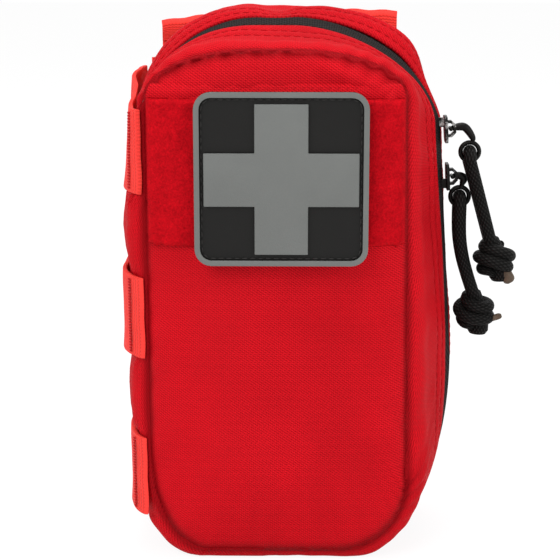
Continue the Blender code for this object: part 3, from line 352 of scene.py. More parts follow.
    def normal(self, i, y):
        limit = SEAM[side_of(y)] * 0.97
        y = max(-limit, min(limit, y))
        step = 0.0006
        across = self.bare(i + 0.6, y) - self.bare(i - 0.6, y)
        deep = self.bare(i, min(y + step, limit)) - self.bare(i, max(y - step, -limit))
        n = across.cross(deep)
        return n.normalized() if n.length > 1e-12 else Vector((0, -1, 0))

    def wall(self, i, y, lift=0.0):
        """A point of the wall with its wrinkles."""
        p = self.bare(i, y) + self.normal(i, y) * (self.relief(i, y) + lift)
        p.z = max(p.z, FLOOR_GAP)
        return p

    def crease(self, i, y):
        """Painted shade where above 0 and painted highlight where below 0: shade in the seam's groove and
        where the cloth sinks, highlight where it stands out.
        """
        return 1.3 * hump(SEAM[side_of(y)] - abs(y), 0.0013) - self.relief(i, y) / 0.0032

    def relief(self, i, y):
        """How far the cloth stands out at a point: seam rolls, puckers and slack."""
        s, side = sizes(), side_of(y)
        from_seam = SEAM[side] - abs(y)
        from_edge = abs(y) - self.zip_edge(i, side)
        along = self.length(i)
        p = self.bare(i, y)
        # a roll of cloth next to the seam, and the groove of the seam itself
        out = 0.0014 * hump(from_seam - 0.0052, 0.0034) - 0.0014 * hump(from_seam, 0.0016)
        # puckers run away from the seam
        phase = along * 620 + 3.0 * noise.noise(Vector((along * 40, 0.3, 1.7 if y < 0 else 5.1)))
        size = s.pucker * (0.55 + 0.75 * noise.noise(Vector((along * 22, 2.0, 8.0))))
        size *= 0.2 + 0.8 * ramp(p.z, 0.002, 0.030)
        out += size * math.sin(phase) * math.exp(-(max(0.0, from_seam - 0.0015) / 0.0065))
        # pull of the two rows of zip stitches
        out -= 0.00040 * sum(hump(from_edge - row, 0.0009) for row in STITCH_ROWS[side])
        # slack cloth
        out += s.slack * 0.8 * noise.fractal(p * 34 + Vector((3.1, 0, 0)), 1.0, 2.0, 3)
        held = self.held(i, y, p.z)
        if held:
            out *= 1 - held[1]
        on_zip = hump(max(0.0, from_edge), 0.0012)
        return out * (1 - on_zip) - 0.0003 * on_zip


MADE = {}                               # the case's shape, once it is worked out


def case():
    if not MADE:
        MADE["case"] = CaseShape()
    return MADE["case"]


# ---------------------------------------------------------------- making meshes
MERGE = 0.000002                        # points closer than this are one


def dress(o, slot, *nodes):
    """Hides the CAD nodes that a piece stands for; slot, the name of its finish, is not used."""
    if nodes:
        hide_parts(*nodes)
    return o


def finish_piece(bm, name, material, body=None):
    """Turns a bmesh into a smooth piece at the origin that rides on a body."""
    me = bpy.data.meshes.new(name)
    bm.to_mesh(me)
    bm.free()
    me.shade_smooth()
    o = bpy.data.objects.new(name, me)
    bpy.context.scene.collection.objects.link(o)
    o.data.materials.append(material)
    if body:
        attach(o, body)
    return o


def flat(u, v, co):
    return (co.x, co.z)


def laid_grid(across, along, place, uv=flat, crease=None):
    """A bmesh grid whose points come from place(u, v), u and v from 0 to 1, with a UV map in metres."""
    bm = bmesh.new()
    bmesh.ops.create_grid(bm, x_segments=across, y_segments=along, size=0.5)
    layer = bm.loops.layers.uv.new("UVMap")
    # painted shade and highlight for each point, if asked, for the case cloth's finish
    shaded = bm.verts.layers.float.new("crease") if crease else None
    spots = {v: (v.co.x + 0.5, v.co.y + 0.5) for v in bm.verts}
    for v in bm.verts:
        if crease:
            v[shaded] = crease(*spots[v])
        v.co = place(*spots[v])
    for f in bm.faces:
        for loop in f.loops:
            loop[layer].uv = uv(*spots[loop.vert], loop.vert.co)
    return bm


def sheet(name, across, along, place, material, body=None, uv=flat, close_u=False, flip=False, crease=None):
    """A sheet of cloth or tape, still without thickness."""
    bm = laid_grid(across, along, place, uv, crease)
    if close_u:
        bmesh.ops.remove_doubles(bm, verts=bm.verts, dist=MERGE)
    if flip:
        bmesh.ops.reverse_faces(bm, faces=bm.faces)
    return finish_piece(bm, name, material, body)


def thicken(o, depth, offset=-1.0, rim=0.0, inner=None):
    """Gives a sheet its thickness, with a soft rim if asked."""
    m = o.modifiers.new("thickness", "SOLIDIFY")
    m.thickness = depth
    m.offset = offset
    m.use_even_offset = False
    m.use_quality_normals = True
    if inner is not None:
        o.data.materials.append(inner)
        m.material_offset = 1
        m.material_offset_rim = 0
    if rim:
        b = o.modifiers.new("rim", "BEVEL")
        b.width = rim
        b.segments = 2
        b.limit_method = "ANGLE"
        b.angle_limit = math.radians(50)
    return o


def settle(o):
    """Applies a piece's modifiers."""
    dg = bpy.context.evaluated_depsgraph_get()
    me = bpy.data.meshes.new_from_object(o.evaluated_get(dg))
    o.modifiers.clear()
    o.data = me


def lengths_of(pts):
    made = [0.0]
    for a, b in zip(pts, pts[1:]):
        made.append(made[-1] + (b - a).length)
    return made


def tube(name, pts, radius, around, material, body=None):
    """A round cord along the points, with a UV map in metres."""
    n = len(pts)
    tangents = [(pts[min(k + 1, n - 1)] - pts[max(k - 1, 0)]).normalized() for k in range(n)]
    normal = tangents[0].orthogonal().normalized()
    frames = []
    for t in tangents:
        normal = (normal - t * normal.dot(t)).normalized()
        frames.append((normal.copy(), t.cross(normal)))
    lengths = lengths_of(pts)
    radii = radius if isinstance(radius, list) else [radius] * n

    def place(u, v):
        k = round(v * (n - 1))
        x, y = frames[k]
        return pts[k] + (x * math.cos(math.tau * u) + y * math.sin(math.tau * u)) * radii[k]

    def uv(u, v, co):
        return (u * math.tau * max(radii), lengths[round(v * (n - 1))])
    bm = laid_grid(around, n - 1, place, uv)
    bmesh.ops.remove_doubles(bm, verts=bm.verts, dist=MERGE)
    bmesh.ops.holes_fill(bm, edges=[e for e in bm.edges if e.is_boundary], sides=around)
    bmesh.ops.recalc_face_normals(bm, faces=bm.faces)
    return finish_piece(bm, name, material, body)


def dense(points, steps):
    """A smooth line through the points."""
    pts = [Vector(p) for p in points]
    out = []
    for a, b, c, d in zip(pts[:1] + pts, pts, pts[1:], pts[2:] + pts[-1:]):
        for k in range(steps):
            t = k / steps
            bend = (2 * a - 5 * b + 4 * c - d) * t ** 2 + (3 * b - a - 3 * c + d) * t ** 3
            out.append(0.5 * ((2 * b) + (c - a) * t + bend))
    out.append(pts[-1])
    return out


def stitches(name, line, material, body, pitch, width, share=0.72, height=None):
    """A row of stitches lying on a line of (point, outward direction) pairs."""
    bm = bmesh.new()
    walked = 0.0
    next_at = pitch / 2
    for (a, out), (b, _) in zip(line, line[1:]):
        step = (b - a).length
        while step > 1e-9 and next_at <= walked + step:
            at = a.lerp(b, (next_at - walked) / step)
            x = (b - a).normalized()
            z = (out - x * out.dot(x)).normalized()
            bead(bm, at, x, z, (pitch * share, width, height or width * 0.8))
            next_at += pitch
        walked += step
    return finish_piece(bm, name, material, body)


def bead(bm, at, x, z, size):
    """One thread or turn of the coil."""
    turn = Matrix((x, z.cross(x), z)).transposed().to_4x4()
    place = Matrix.Translation(at) @ turn @ Matrix.Diagonal((*size, 1.0))
    bmesh.ops.create_icosphere(bm, subdivisions=2, radius=0.5, matrix=place)


def copy_of(node, name, material, slot, bevel, segments=2):
    """A finished copy of a CAD node, with its edges rounded."""
    bm = bmesh.new()
    bm.from_mesh(frame["nodes"][node].data)
    bmesh.ops.remove_doubles(bm, verts=bm.verts, dist=MERGE)
    bmesh.ops.dissolve_limit(bm, angle_limit=math.radians(1.0), verts=bm.verts, edges=bm.edges)
    sharp = [e for e in bm.edges if e.is_manifold and e.calc_face_angle(0.0) > math.radians(35)]
    bmesh.ops.bevel(bm, geom=sharp, offset=bevel, segments=segments, profile=0.5, affect="EDGES",
                    material=-1, clamp_overlap=True)
    layer = bm.loops.layers.uv.new("UVMap")
    bm.normal_update()
    for f in bm.faces:
        facing = max(range(3), key=lambda a: abs(f.normal[a]))
        a, b = ((1, 2), (0, 2), (0, 1))[facing]
        for loop in f.loops:
            loop[layer].uv = (loop.vert.co[a], loop.vert.co[b])
    o = finish_piece(bm, name, material, frame["nodes"][node]["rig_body"])
    o.data.set_sharp_from_angle(angle=math.radians(40))
    return dress(o, slot, node)


# ---------------------------------------------------------------- finishes
def feed(tree, value, target):
    """Sets a socket to a number or a colour, or links a wire to it."""
    if isinstance(value, tuple):
        target.default_value = (*value[:3], 1.0)
    elif isinstance(value, (int, float)):
        target.default_value = value
    else:
        tree.links.new(value.socket, target)


def node(tree, kind, inputs, output, **settings):
    """The output of a new shader node, as a wire."""
    n = tree.nodes.new("ShaderNode" + kind)
    for key, value in settings.items():
        setattr(n, key, value)
    for key, value in inputs.items():
        feed(tree, value, n.inputs[key])
    return Wire(tree, n.outputs[output])


class Wire:
    """A value in a shader tree, with which more values can be worked out."""

    def __init__(self, tree, socket):
        self.tree = tree
        self.socket = socket

    def maths(self, operation, *others):
        return node(self.tree, "Math", dict(enumerate((self, *others))), 0, operation=operation)

    def __add__(self, other):
        return self.maths("ADD", other)

    def __sub__(self, other):
        return self.maths("SUBTRACT", other)

    def __mul__(self, other):
        return self.maths("MULTIPLY", other)

    def __truediv__(self, other):
        return self.maths("DIVIDE", other)

    def __pow__(self, other):
        return self.maths("POWER", other)

    def clamped(self):
        return self.maths("MAXIMUM", 0.0).maths("MINIMUM", 1.0)

    def waves(self):
        """A row of humps from 0 to 1, one for each whole step."""
        return (self * math.pi).maths("SINE").maths("ABSOLUTE")

    def noise(self, scale, detail=3.0, rough=0.55):
        inputs = {"Vector": self, "Scale": scale, "Detail": detail, "Roughness": rough}
        return node(self.tree, "TexNoise", inputs, "Fac")

    def threads(self, pitch):
        """U and V counted in threads."""
        return [node(self.tree, "SeparateXYZ", {0: self}, k) / pitch for k in (0, 1)]


def group(name, inputs, outputs, fill):
    """A shader node group, built once: fill takes its inputs and gives its outputs."""
    if name in bpy.data.node_groups:
        return bpy.data.node_groups[name]
    g = bpy.data.node_groups.new(name, "ShaderNodeTree")
    kinds = {"Vector": "NodeSocketVector", "Colour": "NodeSocketColor"}
    for label in inputs:
        g.interface.new_socket(label, in_out="INPUT", socket_type=kinds.get(label, "NodeSocketFloat"))
    for label in outputs:
        g.interface.new_socket(label, in_out="OUTPUT", socket_type=kinds.get(label, "NodeSocketFloat"))
    src, dst = g.nodes.new("NodeGroupInput"), g.nodes.new("NodeGroupOutput")
    made = fill(*[Wire(g, src.outputs[label]) for label in inputs])
    for label, value in zip(outputs, made):
        feed(g, value, dst.inputs[label])
    return g


def weave_group():
    """Plain weave with a slight slant: threads going over and under, by thread pitch in metres."""
    def fill(vector, pitch):
        u, v = vector.threads(pitch)
        parity = (u.maths("FLOOR") + v.maths("FLOOR")).maths("MODULO", 2.0).maths("ABSOLUTE")
        over_u, over_v = u.waves(), v.waves()
        warp = over_u ** 0.6 * over_v * parity
        weft = over_u * over_v ** 0.6 * (parity * -1.0 + 1.0) * 0.82
        slant = ((u + v * 1.5) * 0.5).waves()
        return (warp + weft) * 0.50 + slant * 0.50, parity
    return group("plain weave", ("Vector", "Pitch"), ("Height", "Warp"), fill)


def braid_group():
    """Braided sheath: strands that cross on the slant."""
    def fill(vector, pitch):
        u, v = vector.threads(pitch)
        v = v * 0.62
        one, two = (u + v).waves(), (u - v).waves()
        return (one * two) ** 0.6, (u * 6.0).waves() * one
    return group("braid", ("Vector", "Pitch"), ("Height", "Strand"), fill)


def tone_group():
    """Uneven dye and wear: a colour drifting between a darker and a lighter shade."""
    def fill(vector, colour, amount, scale):
        drift = vector.noise(scale, 4.0, 0.5)
        factor = (drift - 0.5) * 2.0 * amount + 1.0
        tone = node(vector.tree, "VectorMath", {0: colour, "Scale": factor}, 0, operation="SCALE")
        return tone, drift
    return group("uneven tone", ("Vector", "Colour", "Amount", "Scale"), ("Colour", "Mask"), fill)


class Finish:
    """A material being wired up."""

    def __init__(self, name, rough, shine, metallic):
        self.material = bpy.data.materials.new(name)
        self.material.use_nodes = True
        self.tree = self.material.node_tree
        self.shader = self.tree.nodes["Principled BSDF"].inputs
        for key, value in (("Roughness", rough), ("Specular IOR Level", shine), ("Metallic", metallic)):
            feed(self.tree, value, self.shader[key])
        self.object, self.uv = (node(self.tree, "TexCoord", {}, key) for key in ("Object", "UV"))

    def placed(self, g, **values):
        n = self.tree.nodes.new("ShaderNodeGroup")
        n.node_tree = g
        for key, value in values.items():
            feed(self.tree, value, n.inputs[key])
        return [Wire(self.tree, o) for o in n.outputs]

    def weave(self, pitch):
        """Height and warp of a plain weave."""
        return self.placed(weave_group(), Vector=self.uv, Pitch=pitch)

    def tone(self, base, amount, scale):
        """An uneven colour and its mask."""
        return self.placed(tone_group(), Vector=self.object, Colour=base, Amount=amount, Scale=scale)

    def mixed(self, factor, a, b, blend="MIX"):
        return node(self.tree, "Mix", {0: factor, 6: a, 7: b}, 2, data_type="RGBA", blend_type=blend)

    def paint(self, colour, height, depth, strength=1.0, rough=None):
        bump = node(self.tree, "Bump", {"Strength": strength, "Distance": depth, "Height": height}, "Normal")
        feed(self.tree, colour, self.shader["Base Color"])
        feed(self.tree, bump, self.shader["Normal"])
        if rough:
            feed(self.tree, rough, self.shader["Roughness"])


def shade(colour, r, g=None, b=None):
    """A colour times one factor, or one for each channel."""
    return (colour[0] * r, colour[1] * (g or r), colour[2] * (b or r))


def known(name, rough, shine, wiring, metallic=0.0):
    """A finish by its name, wired up the first time that it is asked for."""
    if name not in bpy.data.materials:
        wiring(Finish(name, rough, shine, metallic))
    return bpy.data.materials[name]


def case_cloth():
    """Coated woven nylon: plain weave with painted light and shade on its threads, uneven dye, painted shade
    in its seams and creases and a painted highlight where it stands out.
    """
    def wiring(f):
        base = colour_of("cloth")
        height, warp = f.weave(sizes().weave)
        tone, mask = f.tone(base, 0.22, 48.0)
        fleck = f.object.noise(900.0, 2.0)
        # painted highlight on the raised threads and painted shade between them: the weave's light and shade
        # laid into its colour
        thread = ((height - 0.15) * 1.6).clamped()
        painted_glint = f.mixed(1.0, tone, (1.18, 2.0, 1.6), "MULTIPLY")
        woven = f.mixed(thread, shade(base, 0.52, 0.12, 0.25), painted_glint)
        woven = f.mixed(warp * 0.14, woven, shade(base, 1.35))
        woven = f.mixed(fleck * 0.20, woven, shade(base, 0.8))
        # painted shade in the seams and creases and a painted highlight where the cloth stands out, both from
        # the per-point attribute
        crease = node(f.tree, "Attribute", {}, "Fac", attribute_name="crease")
        wear_and_painted_light = f.mixed(crease.clamped() * 0.72, woven, shade(base, 0.34))
        wear_and_painted_light = f.mixed((crease * -1.0).clamped() * 0.30, wear_and_painted_light, shade(base, 1.35, 4.0, 2.2))
        f.paint(wear_and_painted_light, height + fleck * 0.35, 0.00022, 0.9, mask * 0.20 + 0.50)
    return known("case cloth", 0.62, 0.04, wiring)


def lining_cloth():
    """Dark woven lining."""
    def wiring(f):
        base = colour_of("lining")
        height, _ = f.weave(0.0006)
        tone, _ = f.tone(base, 0.3, 60.0)
        f.paint(f.mixed(height, shade(base, 0.7), tone), height, 0.0001, 0.6)
    return known("lining cloth", 0.55, 0.10, wiring)


def webbing_cloth(name="webbing", colour="webbing", rib=0.0011):
    """Woven tape: ribs along the length crossed by fine picks."""
    def wiring(f):
        base = colour_of(colour)
        u, v = f.uv.threads(1.0)
        ribs = (u / rib).waves()
        picks = ((v + ribs * 0.0003) / 0.0010).waves()
        height = ribs * 0.14 + picks * 0.86
        tone, _ = f.tone(base, 0.16, 90.0)
        f.paint(f.mixed(height, shade(base, 0.70), tone), height, 0.00025, 0.9)
    return known(name, 0.58, 0.08, wiring)


def loop_pile():
    """Loop tape: matted tiny loops."""
    def wiring(f):
        base = colour_of("pile")
        both = f.object.noise(1500.0, 4.0, 0.75) * 0.65 + f.object.noise(260.0, 3.0, 0.6) * 0.35
        tuft = ((both - 0.35) * 3.2).clamped()
        f.paint(f.mixed(tuft, shade(base, 0.60), shade(base, 1.30)), both, 0.0006, 0.8)
    return known("loop pile", 0.95, 0.05, wiring)


def zip_cloth():
    """Zip tape: close twill in charcoal."""
    def wiring(f):
        base = colour_of("tape")
        u, v = f.uv.threads(0.0011)
        height = (u + v * 0.5).waves() * 0.6 + (v * 1.4).waves() * 0.4
        f.paint(f.mixed(height, shade(base, 0.15), shade(base, 2.2)), height, 0.0003)
    return known("zip cloth", 0.85, 0.02, wiring)


def grained(name, rough, shine, grain, dark, light, depth, strength):
    """A plain finish that one noise mottles and dents."""
    def wiring(f):
        n = f.object.noise(*grain)
        f.paint(f.mixed(n, dark, light), n, depth, strength)
    return known(name, rough, shine, wiring)


def sewing_thread(name="sewing thread", colour=None):
    base = colour or colour_of("thread")
    return grained(name, 0.6, 0.03, (3000.0, 2.0), shade(base, 0.6), shade(base, 1.4), 0.00005, 0.5)


def coil_plastic():
    base = colour_of("black")
    return grained("coil plastic", 0.42, 0.3, (900.0, 2.0), shade(base, 0.7), shade(base, 1.6), 0.00003, 0.4)


def burnt_end():
    """Melted end of a cord."""
    dark, light = (0.02, 0.014, 0.010), (0.17, 0.12, 0.085)
    return grained("burnt end", 0.35, 0.10, (700.0, 4.0), dark, light, 0.0004, 0.8)


def wrapper_paper():
    base = colour_of("gauze")
    light = shade(base, 1.08)
    return grained("wrapper paper", 0.5, 0.10, (140.0, 5.0, 0.65), shade(base, 0.85), light, 0.0006, 0.5)


def hook_backing():
    return grained("hook backing", 0.95, 0.10, (1500.0, 3.0), (0.006,) * 3, (0.03,) * 3, 0.0005, 0.8)


def patch_vinyl(name, colour, rough):
    """Soft moulded vinyl with a fine leathery grain."""
    def wiring(f):
        cell = node(f.tree, "TexVoronoi", {"Scale": 2600.0, "Vector": f.object}, "Distance")
        tone, mask = f.tone(colour, 0.12, 70.0)
        fine = f.object.noise(1800.0, 3.0)
        mottled = f.mixed(fine * 0.3, tone, shade(colour, 0.8))
        f.paint(mottled, cell + fine * 0.5, 0.00006, 0.5, mask * 0.2 + (rough - 0.1))
    return known(name, rough, 0.14, wiring)


def coated_metal(name, colour, wear_and_painted_light, amount, rough=0.38, metallic=0.9):
    """Painted metal, rubbed bright in places."""
    def wiring(f):
        wear = f.object.noise(420.0, 5.0, 0.7)
        mask = ((wear - (1.0 - amount)) * 9.0).clamped()
        f.paint(f.mixed(mask, colour, wear_and_painted_light), wear, 0.00006, 0.4, wear * 0.25 + (rough - 0.12))
    return known(name, rough, 0.4, wiring, metallic)


def cord_sheath():
    """Black braided sheath with a painted highlight on its strands."""
    def wiring(f):
        base = colour_of("black")
        height, strand = f.placed(braid_group(), Vector=f.uv, Pitch=0.00114)
        fibre = f.object.noise(2600.0, 2.0)
        # painted highlight on the crests of the braid's strands
        painted_glint = height ** 3.0 * strand
        f.paint(f.mixed(painted_glint, shade(base, 0.35), shade(base, 2.6)), height + fibre * 0.2, 0.00035)
    return known("cord sheath", 0.55, 0.07, wiring)


def gauze_cloth():
    """Loose open weave of cotton."""
    def wiring(f):
        base = colour_of("gauze")
        height, _ = f.weave(0.0011)
        fibre = f.object.noise(1500.0, 3.0)
        f.paint(f.mixed(height * fibre, shade(base, 0.72), base), height + fibre, 0.0003, 0.7)
    return known("gauze cloth", 0.9, 0.10, wiring)


# ---------------------------------------------------------------- operators
LAMPS = (                               # place and share of the key lamp's power
    ("key", (-0.62, -0.78, 0.95), 1.0),
    ("side", (0.95, -0.65, 0.45), 0.45),
    ("top", (0.05, 0.10, 1.20), 0.95),
)
LAMP_SIZE = 0.8
LAMPS_AIM = (0, 0, 0.08)
FLOOR_SIZE = 3.0


def seen(tree):
    """1 where the camera looks, also by way of gloss or glass."""
    ways = [node(tree, "LightPath", {}, "Is %s Ray" % way) for way in ("Camera", "Glossy", "Transmission")]
    return ways[0].maths("MAXIMUM", ways[1]).maths("MAXIMUM", ways[2])


def staged(name, data, at, target=None):
    """Puts a camera, lamp or floor in the scene."""
    o = bpy.data.objects.new(name, data)
    bpy.context.scene.collection.objects.link(o)
    o.location = at
    if target:
        o.rotation_euler = (Vector(target) - Vector(at)).to_track_quat("-Z", "Y").to_euler()
    return o


def floor_paper():
    """White paper that keeps a soft shadow."""
    m = bpy.data.materials.new("floor paper")
    m.use_nodes = True
    t = m.node_tree
    shader = t.nodes["Principled BSDF"]
    feed(t, (0.86, 0.86, 0.86), shader.inputs["Base Color"])
    feed(t, 0.9, shader.inputs["Roughness"])
    glow = node(t, "Emission", {"Strength": 1.05}, 0)
    blend = node(t, "MixShader", {0: seen(t) * 0.86, 1: Wire(t, shader.outputs[0]), 2: glow}, 0)
    feed(t, blend, t.nodes["Material Output"].inputs["Surface"])
    return m


class POUCH_OT_stage(bpy.types.Operator):
    """Floor, light and camera"""
    bl_idname = "pouch.stage"
    bl_label = "Stage"

    def execute(self, context):
        scene = context.scene
        s = scene.pouch_stage
        scene.view_settings.view_transform = "Standard"
        cam = bpy.data.cameras.new("camera")
        cam.lens = s.lens
        cam.sensor_width = 36.0
        cam.clip_start = 0.01
        scene.camera = staged("camera", cam, s.camera, s.target)
        for name, at, share in LAMPS:
            lamp = bpy.data.lights.new(name, "AREA")
            lamp.energy = s.key * share
            lamp.size = LAMP_SIZE
            staged(name, lamp, at, LAMPS_AIM)
        world = bpy.data.worlds.new("plain surroundings")
        scene.world = world
        world.use_nodes = True
        t = world.node_tree
        back = t.nodes["Background"].inputs
        feed(t, (1.0, 1.0, 1.0), back["Color"])
        feed(t, seen(t) * (1.0 - s.fill) + s.fill, back["Strength"])
        bm = bmesh.new()
        bmesh.ops.create_grid(bm, x_segments=1, y_segments=1, size=FLOOR_SIZE)
        me = bpy.data.meshes.new("floor")
        bm.to_mesh(me)
        bm.free()
        me.materials.append(floor_paper())
        staged("floor", me, (0, 0, CAD_LOW.z))
        return {"FINISHED"}


# share of the way to the knot and half the legs' distance in cord widths
LEGS = ((1.10, 0.40), (1.0, 0.56), (0.86, 0.60), (0.68, 0.64), (0.50, 0.69), (0.34, 0.73))
RING_WIRE = 0.0007                      # radius of the wire that a cord hangs on
KNOT_TOP = 0.0078                       # from a knot's middle to its top
# each knot's turns, tilt, height and twist, then its melted end's start, tip and radius
KNOTS = {
    "upper": (2.7, 0.46, 0.0096, 0.4, (0.0018, -0.0012, -0.0040), (0.0030, -0.0018, -0.0086), 0.0020),
    "lower": (2.45, -0.30, 0.0086, 2.4, (0.0040, -0.0020, -0.0030), (0.0082, -0.0026, -0.0022), 0.0010),
}
KNOT_WIDE = 0.0049
KNOT_STEPS = 150
CORE_STEPS = 12


def joint_place(name):
    return Vector(next(j["pos_m"] for j in frame["joints"] if j["name"] == name))


class POUCH_OT_cords(bpy.types.Operator):
    """Cord loops with their knots"""
    bl_idname = "pouch.cords"
    bl_label = "Cords"

    def execute(self, context):
        d = sizes().cord
        for which, bow in (("upper", 0.0), ("lower", 0.0015)):
            bar, knot = joint_place(which + "_cord_swing"), middle("knot_" + which)
            around = RING_WIRE + d / 2 + CLEAR
            to = knot + (bar - knot).normalized() * (KNOT_TOP + CLEAR) - bar
            legs = []
            for s in (-1, 1):
                leg = [bar + to * t + Vector((-bow * math.sin(math.pi * t), s * w * d, 0)) for t, w in LEGS]
                leg.append(bar + to * 0.17 + Vector((-bow * 0.5, s * around, 0)))
                for a in (math.radians(90), math.radians(67), math.radians(45), math.radians(22)):
                    leg.append(bar + Vector((0, s * around * math.sin(a), around * math.cos(a))))
                legs.append(leg)
            path = dense(legs[0] + [bar + Vector((0, 0, around))] + legs[1][::-1], 4)
            loop = tube("cord_%s_sheath" % which, path, d / 2, 20, cord_sheath(), which + "_cord")
            dress(loop, "cord_black", "cord_" + which)
            parts = knot_pieces(which, knot, to)
            tuple(path[0])
            lengths_of(path)[-1]
            [tuple(p) for p in path]
        return {"FINISHED"}


def knot_pieces(which, centre, to):
    """A tight knot: the strand wound round itself, the strand inside it and its melted end."""
    turns, tilt, tall, twist, start, tip, thick = KNOTS[which]
    body = which + "_cord"
    z = -to.normalized()
    x = (Vector((1, 0, 0)) - z * z.x).normalized()
    place = Matrix.Translation(centre) @ Matrix((x, z.cross(x), z)).transposed().to_4x4()
    lean = place @ Matrix.Rotation(twist, 4, "Z") @ Matrix.Rotation(tilt, 4, "Y")
    path, radii = [], []
    for k in range(KNOT_STEPS + 1):
        t = k / KNOT_STEPS
        a = math.tau * turns * t
        wide = KNOT_WIDE * math.sin(math.pi * (0.012 + 0.976 * t)) ** 0.42
        path.append(lean @ Vector((wide * math.cos(a), wide * math.sin(a), tall * (0.5 - t))))
        radii.append(sizes().cord / 2 * min(1.0, 0.55 + 0.03 * min(k, KNOT_STEPS - k)))
    ball = tube("knot_%s_turns" % which, path, radii, 20, cord_sheath(), body)
    dress(ball, "cord_black", "knot_" + which)
    path = []
    for k in range(CORE_STEPS + 1):
        t = k / CORE_STEPS
        path.append(place @ Vector((0.0008 * math.sin(4 * t), 0.0, -0.0074 + 0.0142 * t)))
    core = tube("knot_%s_core" % which, path, [0.0026] + [0.0034] * 11 + [0.0024], 18, cord_sheath(), body)
    a, b = place @ Vector(start), place @ Vector(tip)
    path = [a.lerp(b, k / 8) for k in range(9)]
    end = tube("cord_%s_end" % which, path, [thick] * 7 + [thick * 0.9, thick * 0.55], 12, burnt_end(), body)
    return [ball, core, end]


class POUCH_OT_case(bpy.types.Operator):
    """Cloth of the case: side walls, front panel and back panel"""
    bl_idname = "pouch.case"
    bl_label = "Case cloth"

    def execute(self, context):
        shape, cloth, lining = case(), case_cloth(), lining_cloth()
        depth = sizes().cloth

        def strip(name, first, last, y0, y1, rows, body):
            """A stretch of the wall, from y0 or the edge before the zip to y1 or the edge behind it."""
            def deep(i, v):
                a = y0 if y0 is not None else -shape.zip_edge(i, -1)
                b = y1 if y1 is not None else shape.zip_edge(i, 1)
                return a + (b - a) * v

            def spread(make):
                def at(u, v, co=None):
                    i = first + (last - first) * u
                    return make(i, deep(i, v))
                return at
            uv = spread(lambda i, y: (shape.length(i), y * 1.15))
            steps = int(round((last - first) * 1.5))
            # painted shade in the seam's groove and hollows, painted highlight where the wall stands out
            crease = spread(shape.crease)
            o = sheet(name, steps, rows, spread(shape.wall), cloth, body, uv, flip=True, crease=crease)
            return thicken(o, depth, inner=lining)

        first, last = shape.zip_first - 0.5, shape.zip_last + 0.5
        front = strip("gusset_front_cloth", first, last, None, -SEAM[-1], 46, "lid")
        dress(front, "red_cloth", "front_gusset")
        back = strip("gusset_back_cloth", first, last, SEAM[1], None, 40, "case")
        dress(back, "red_cloth", "back_gusset")
        left = strip("gusset_left_cloth", last - 1 - shape.count, first + 1, SEAM[1], -SEAM[-1], 70, None)
        across_hinge(left)
        dress(left, "red_cloth")
        for sign, body, name in ((-1, "lid", "front_binding"), (1, "case", "back_binding")):
            def bound(u, v, sign=sign):
                i, y = shape.count * u, sign * (SEAM[sign] - 0.0064 + 0.0048 * v)
                return shape.wall(i, y) - shape.normal(i, y) * (depth + 0.0004)
            o = sheet(name + "_tape", shape.count, 6, bound, lining, body, close_u=True, flip=sign < 0)
            dress(thicken(o, 0.0008), "binding", name)
        front = sheet("front_panel_cloth", 96, 96, panel_point, cloth, "lid", crease=panel_painted_light)
        rear = sheet("back_panel_cloth", 64, 64, rear_point, cloth, "case", flip=True)
        for o, name in ((front, "front_panel"), (rear, "back_panel")):
            dress(thicken(o, depth, inner=lining), "red_cloth", name)
        return {"FINISHED"}


def across_hinge(o):
    """Bakes the transform of a piece that lies between the case and the lid into its mesh."""
    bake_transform(o)


def centre_of(line):
    return sum(line, Vector((0, 0))) / len(line)


def squared(side, u, v):
    """A place inside a seam: the share of the way out, the place along the outline and the flat point."""
    shape = case()
    line, n, count = shape.seams[side], shape.n, shape.count
    s, t = u * 2 - 1, v * 2 - 1
    r = max(abs(s), abs(t), 1e-6)
    a, b = s / r, t / r
    marks = (LEFT + n / 2, shape.top[1] + n / 2, shape.right[1] + n / 2, count - n / 2, count + LEFT + n / 2)
    if b >= 1 - 1e-9:
        k, share = 0, (a + 1) / 2
    elif a >= 1 - 1e-9:
        k, share = 1, (1 - b) / 2
    elif b <= -1 + 1e-9:
        k, share = 2, (1 - a) / 2
    else:
        k, share = 3, (b + 1) / 2
    i = marks[k] + (marks[k + 1] - marks[k]) * share
    mid = centre_of(line)
    return r, i, mid + (shape.at(line, i) - mid) * r


def rear_point(u, v):
    r, _, p = squared(1, u, v)
    dent = min(0.0, 0.0004 * noise.noise(Vector((p.x * 40, 4.0, p.y * 40))))
    return Vector((p.x, SEAM[1] - 0.0001 + dent - 0.0008 * max(0.0, r - 0.97) / 0.03, p.y))


def panel_point(u, v):
    r, i, p = squared(-1, u, v)
    return Vector((p.x, panel_y(p.x, p.y, r, i), p.y))


# Painted shade along the front panel's seam and where its slack sinks, painted highlight where it stands out.
def panel_painted_light(u, v):
    r, i, p = squared(-1, u, v)
    return 1.2 * hump((1 - r) * PANEL_REACH, 0.0011) + (panel_y(p.x, p.y, r, i) - panel_bulge(r)) / 0.0035


def panel_bulge(r):
    """The front panel's face without its slack, by the share of the way to the seam."""
    return -(SEAM[-1] + CROWN * (1 - min(1.0, r) ** 6))


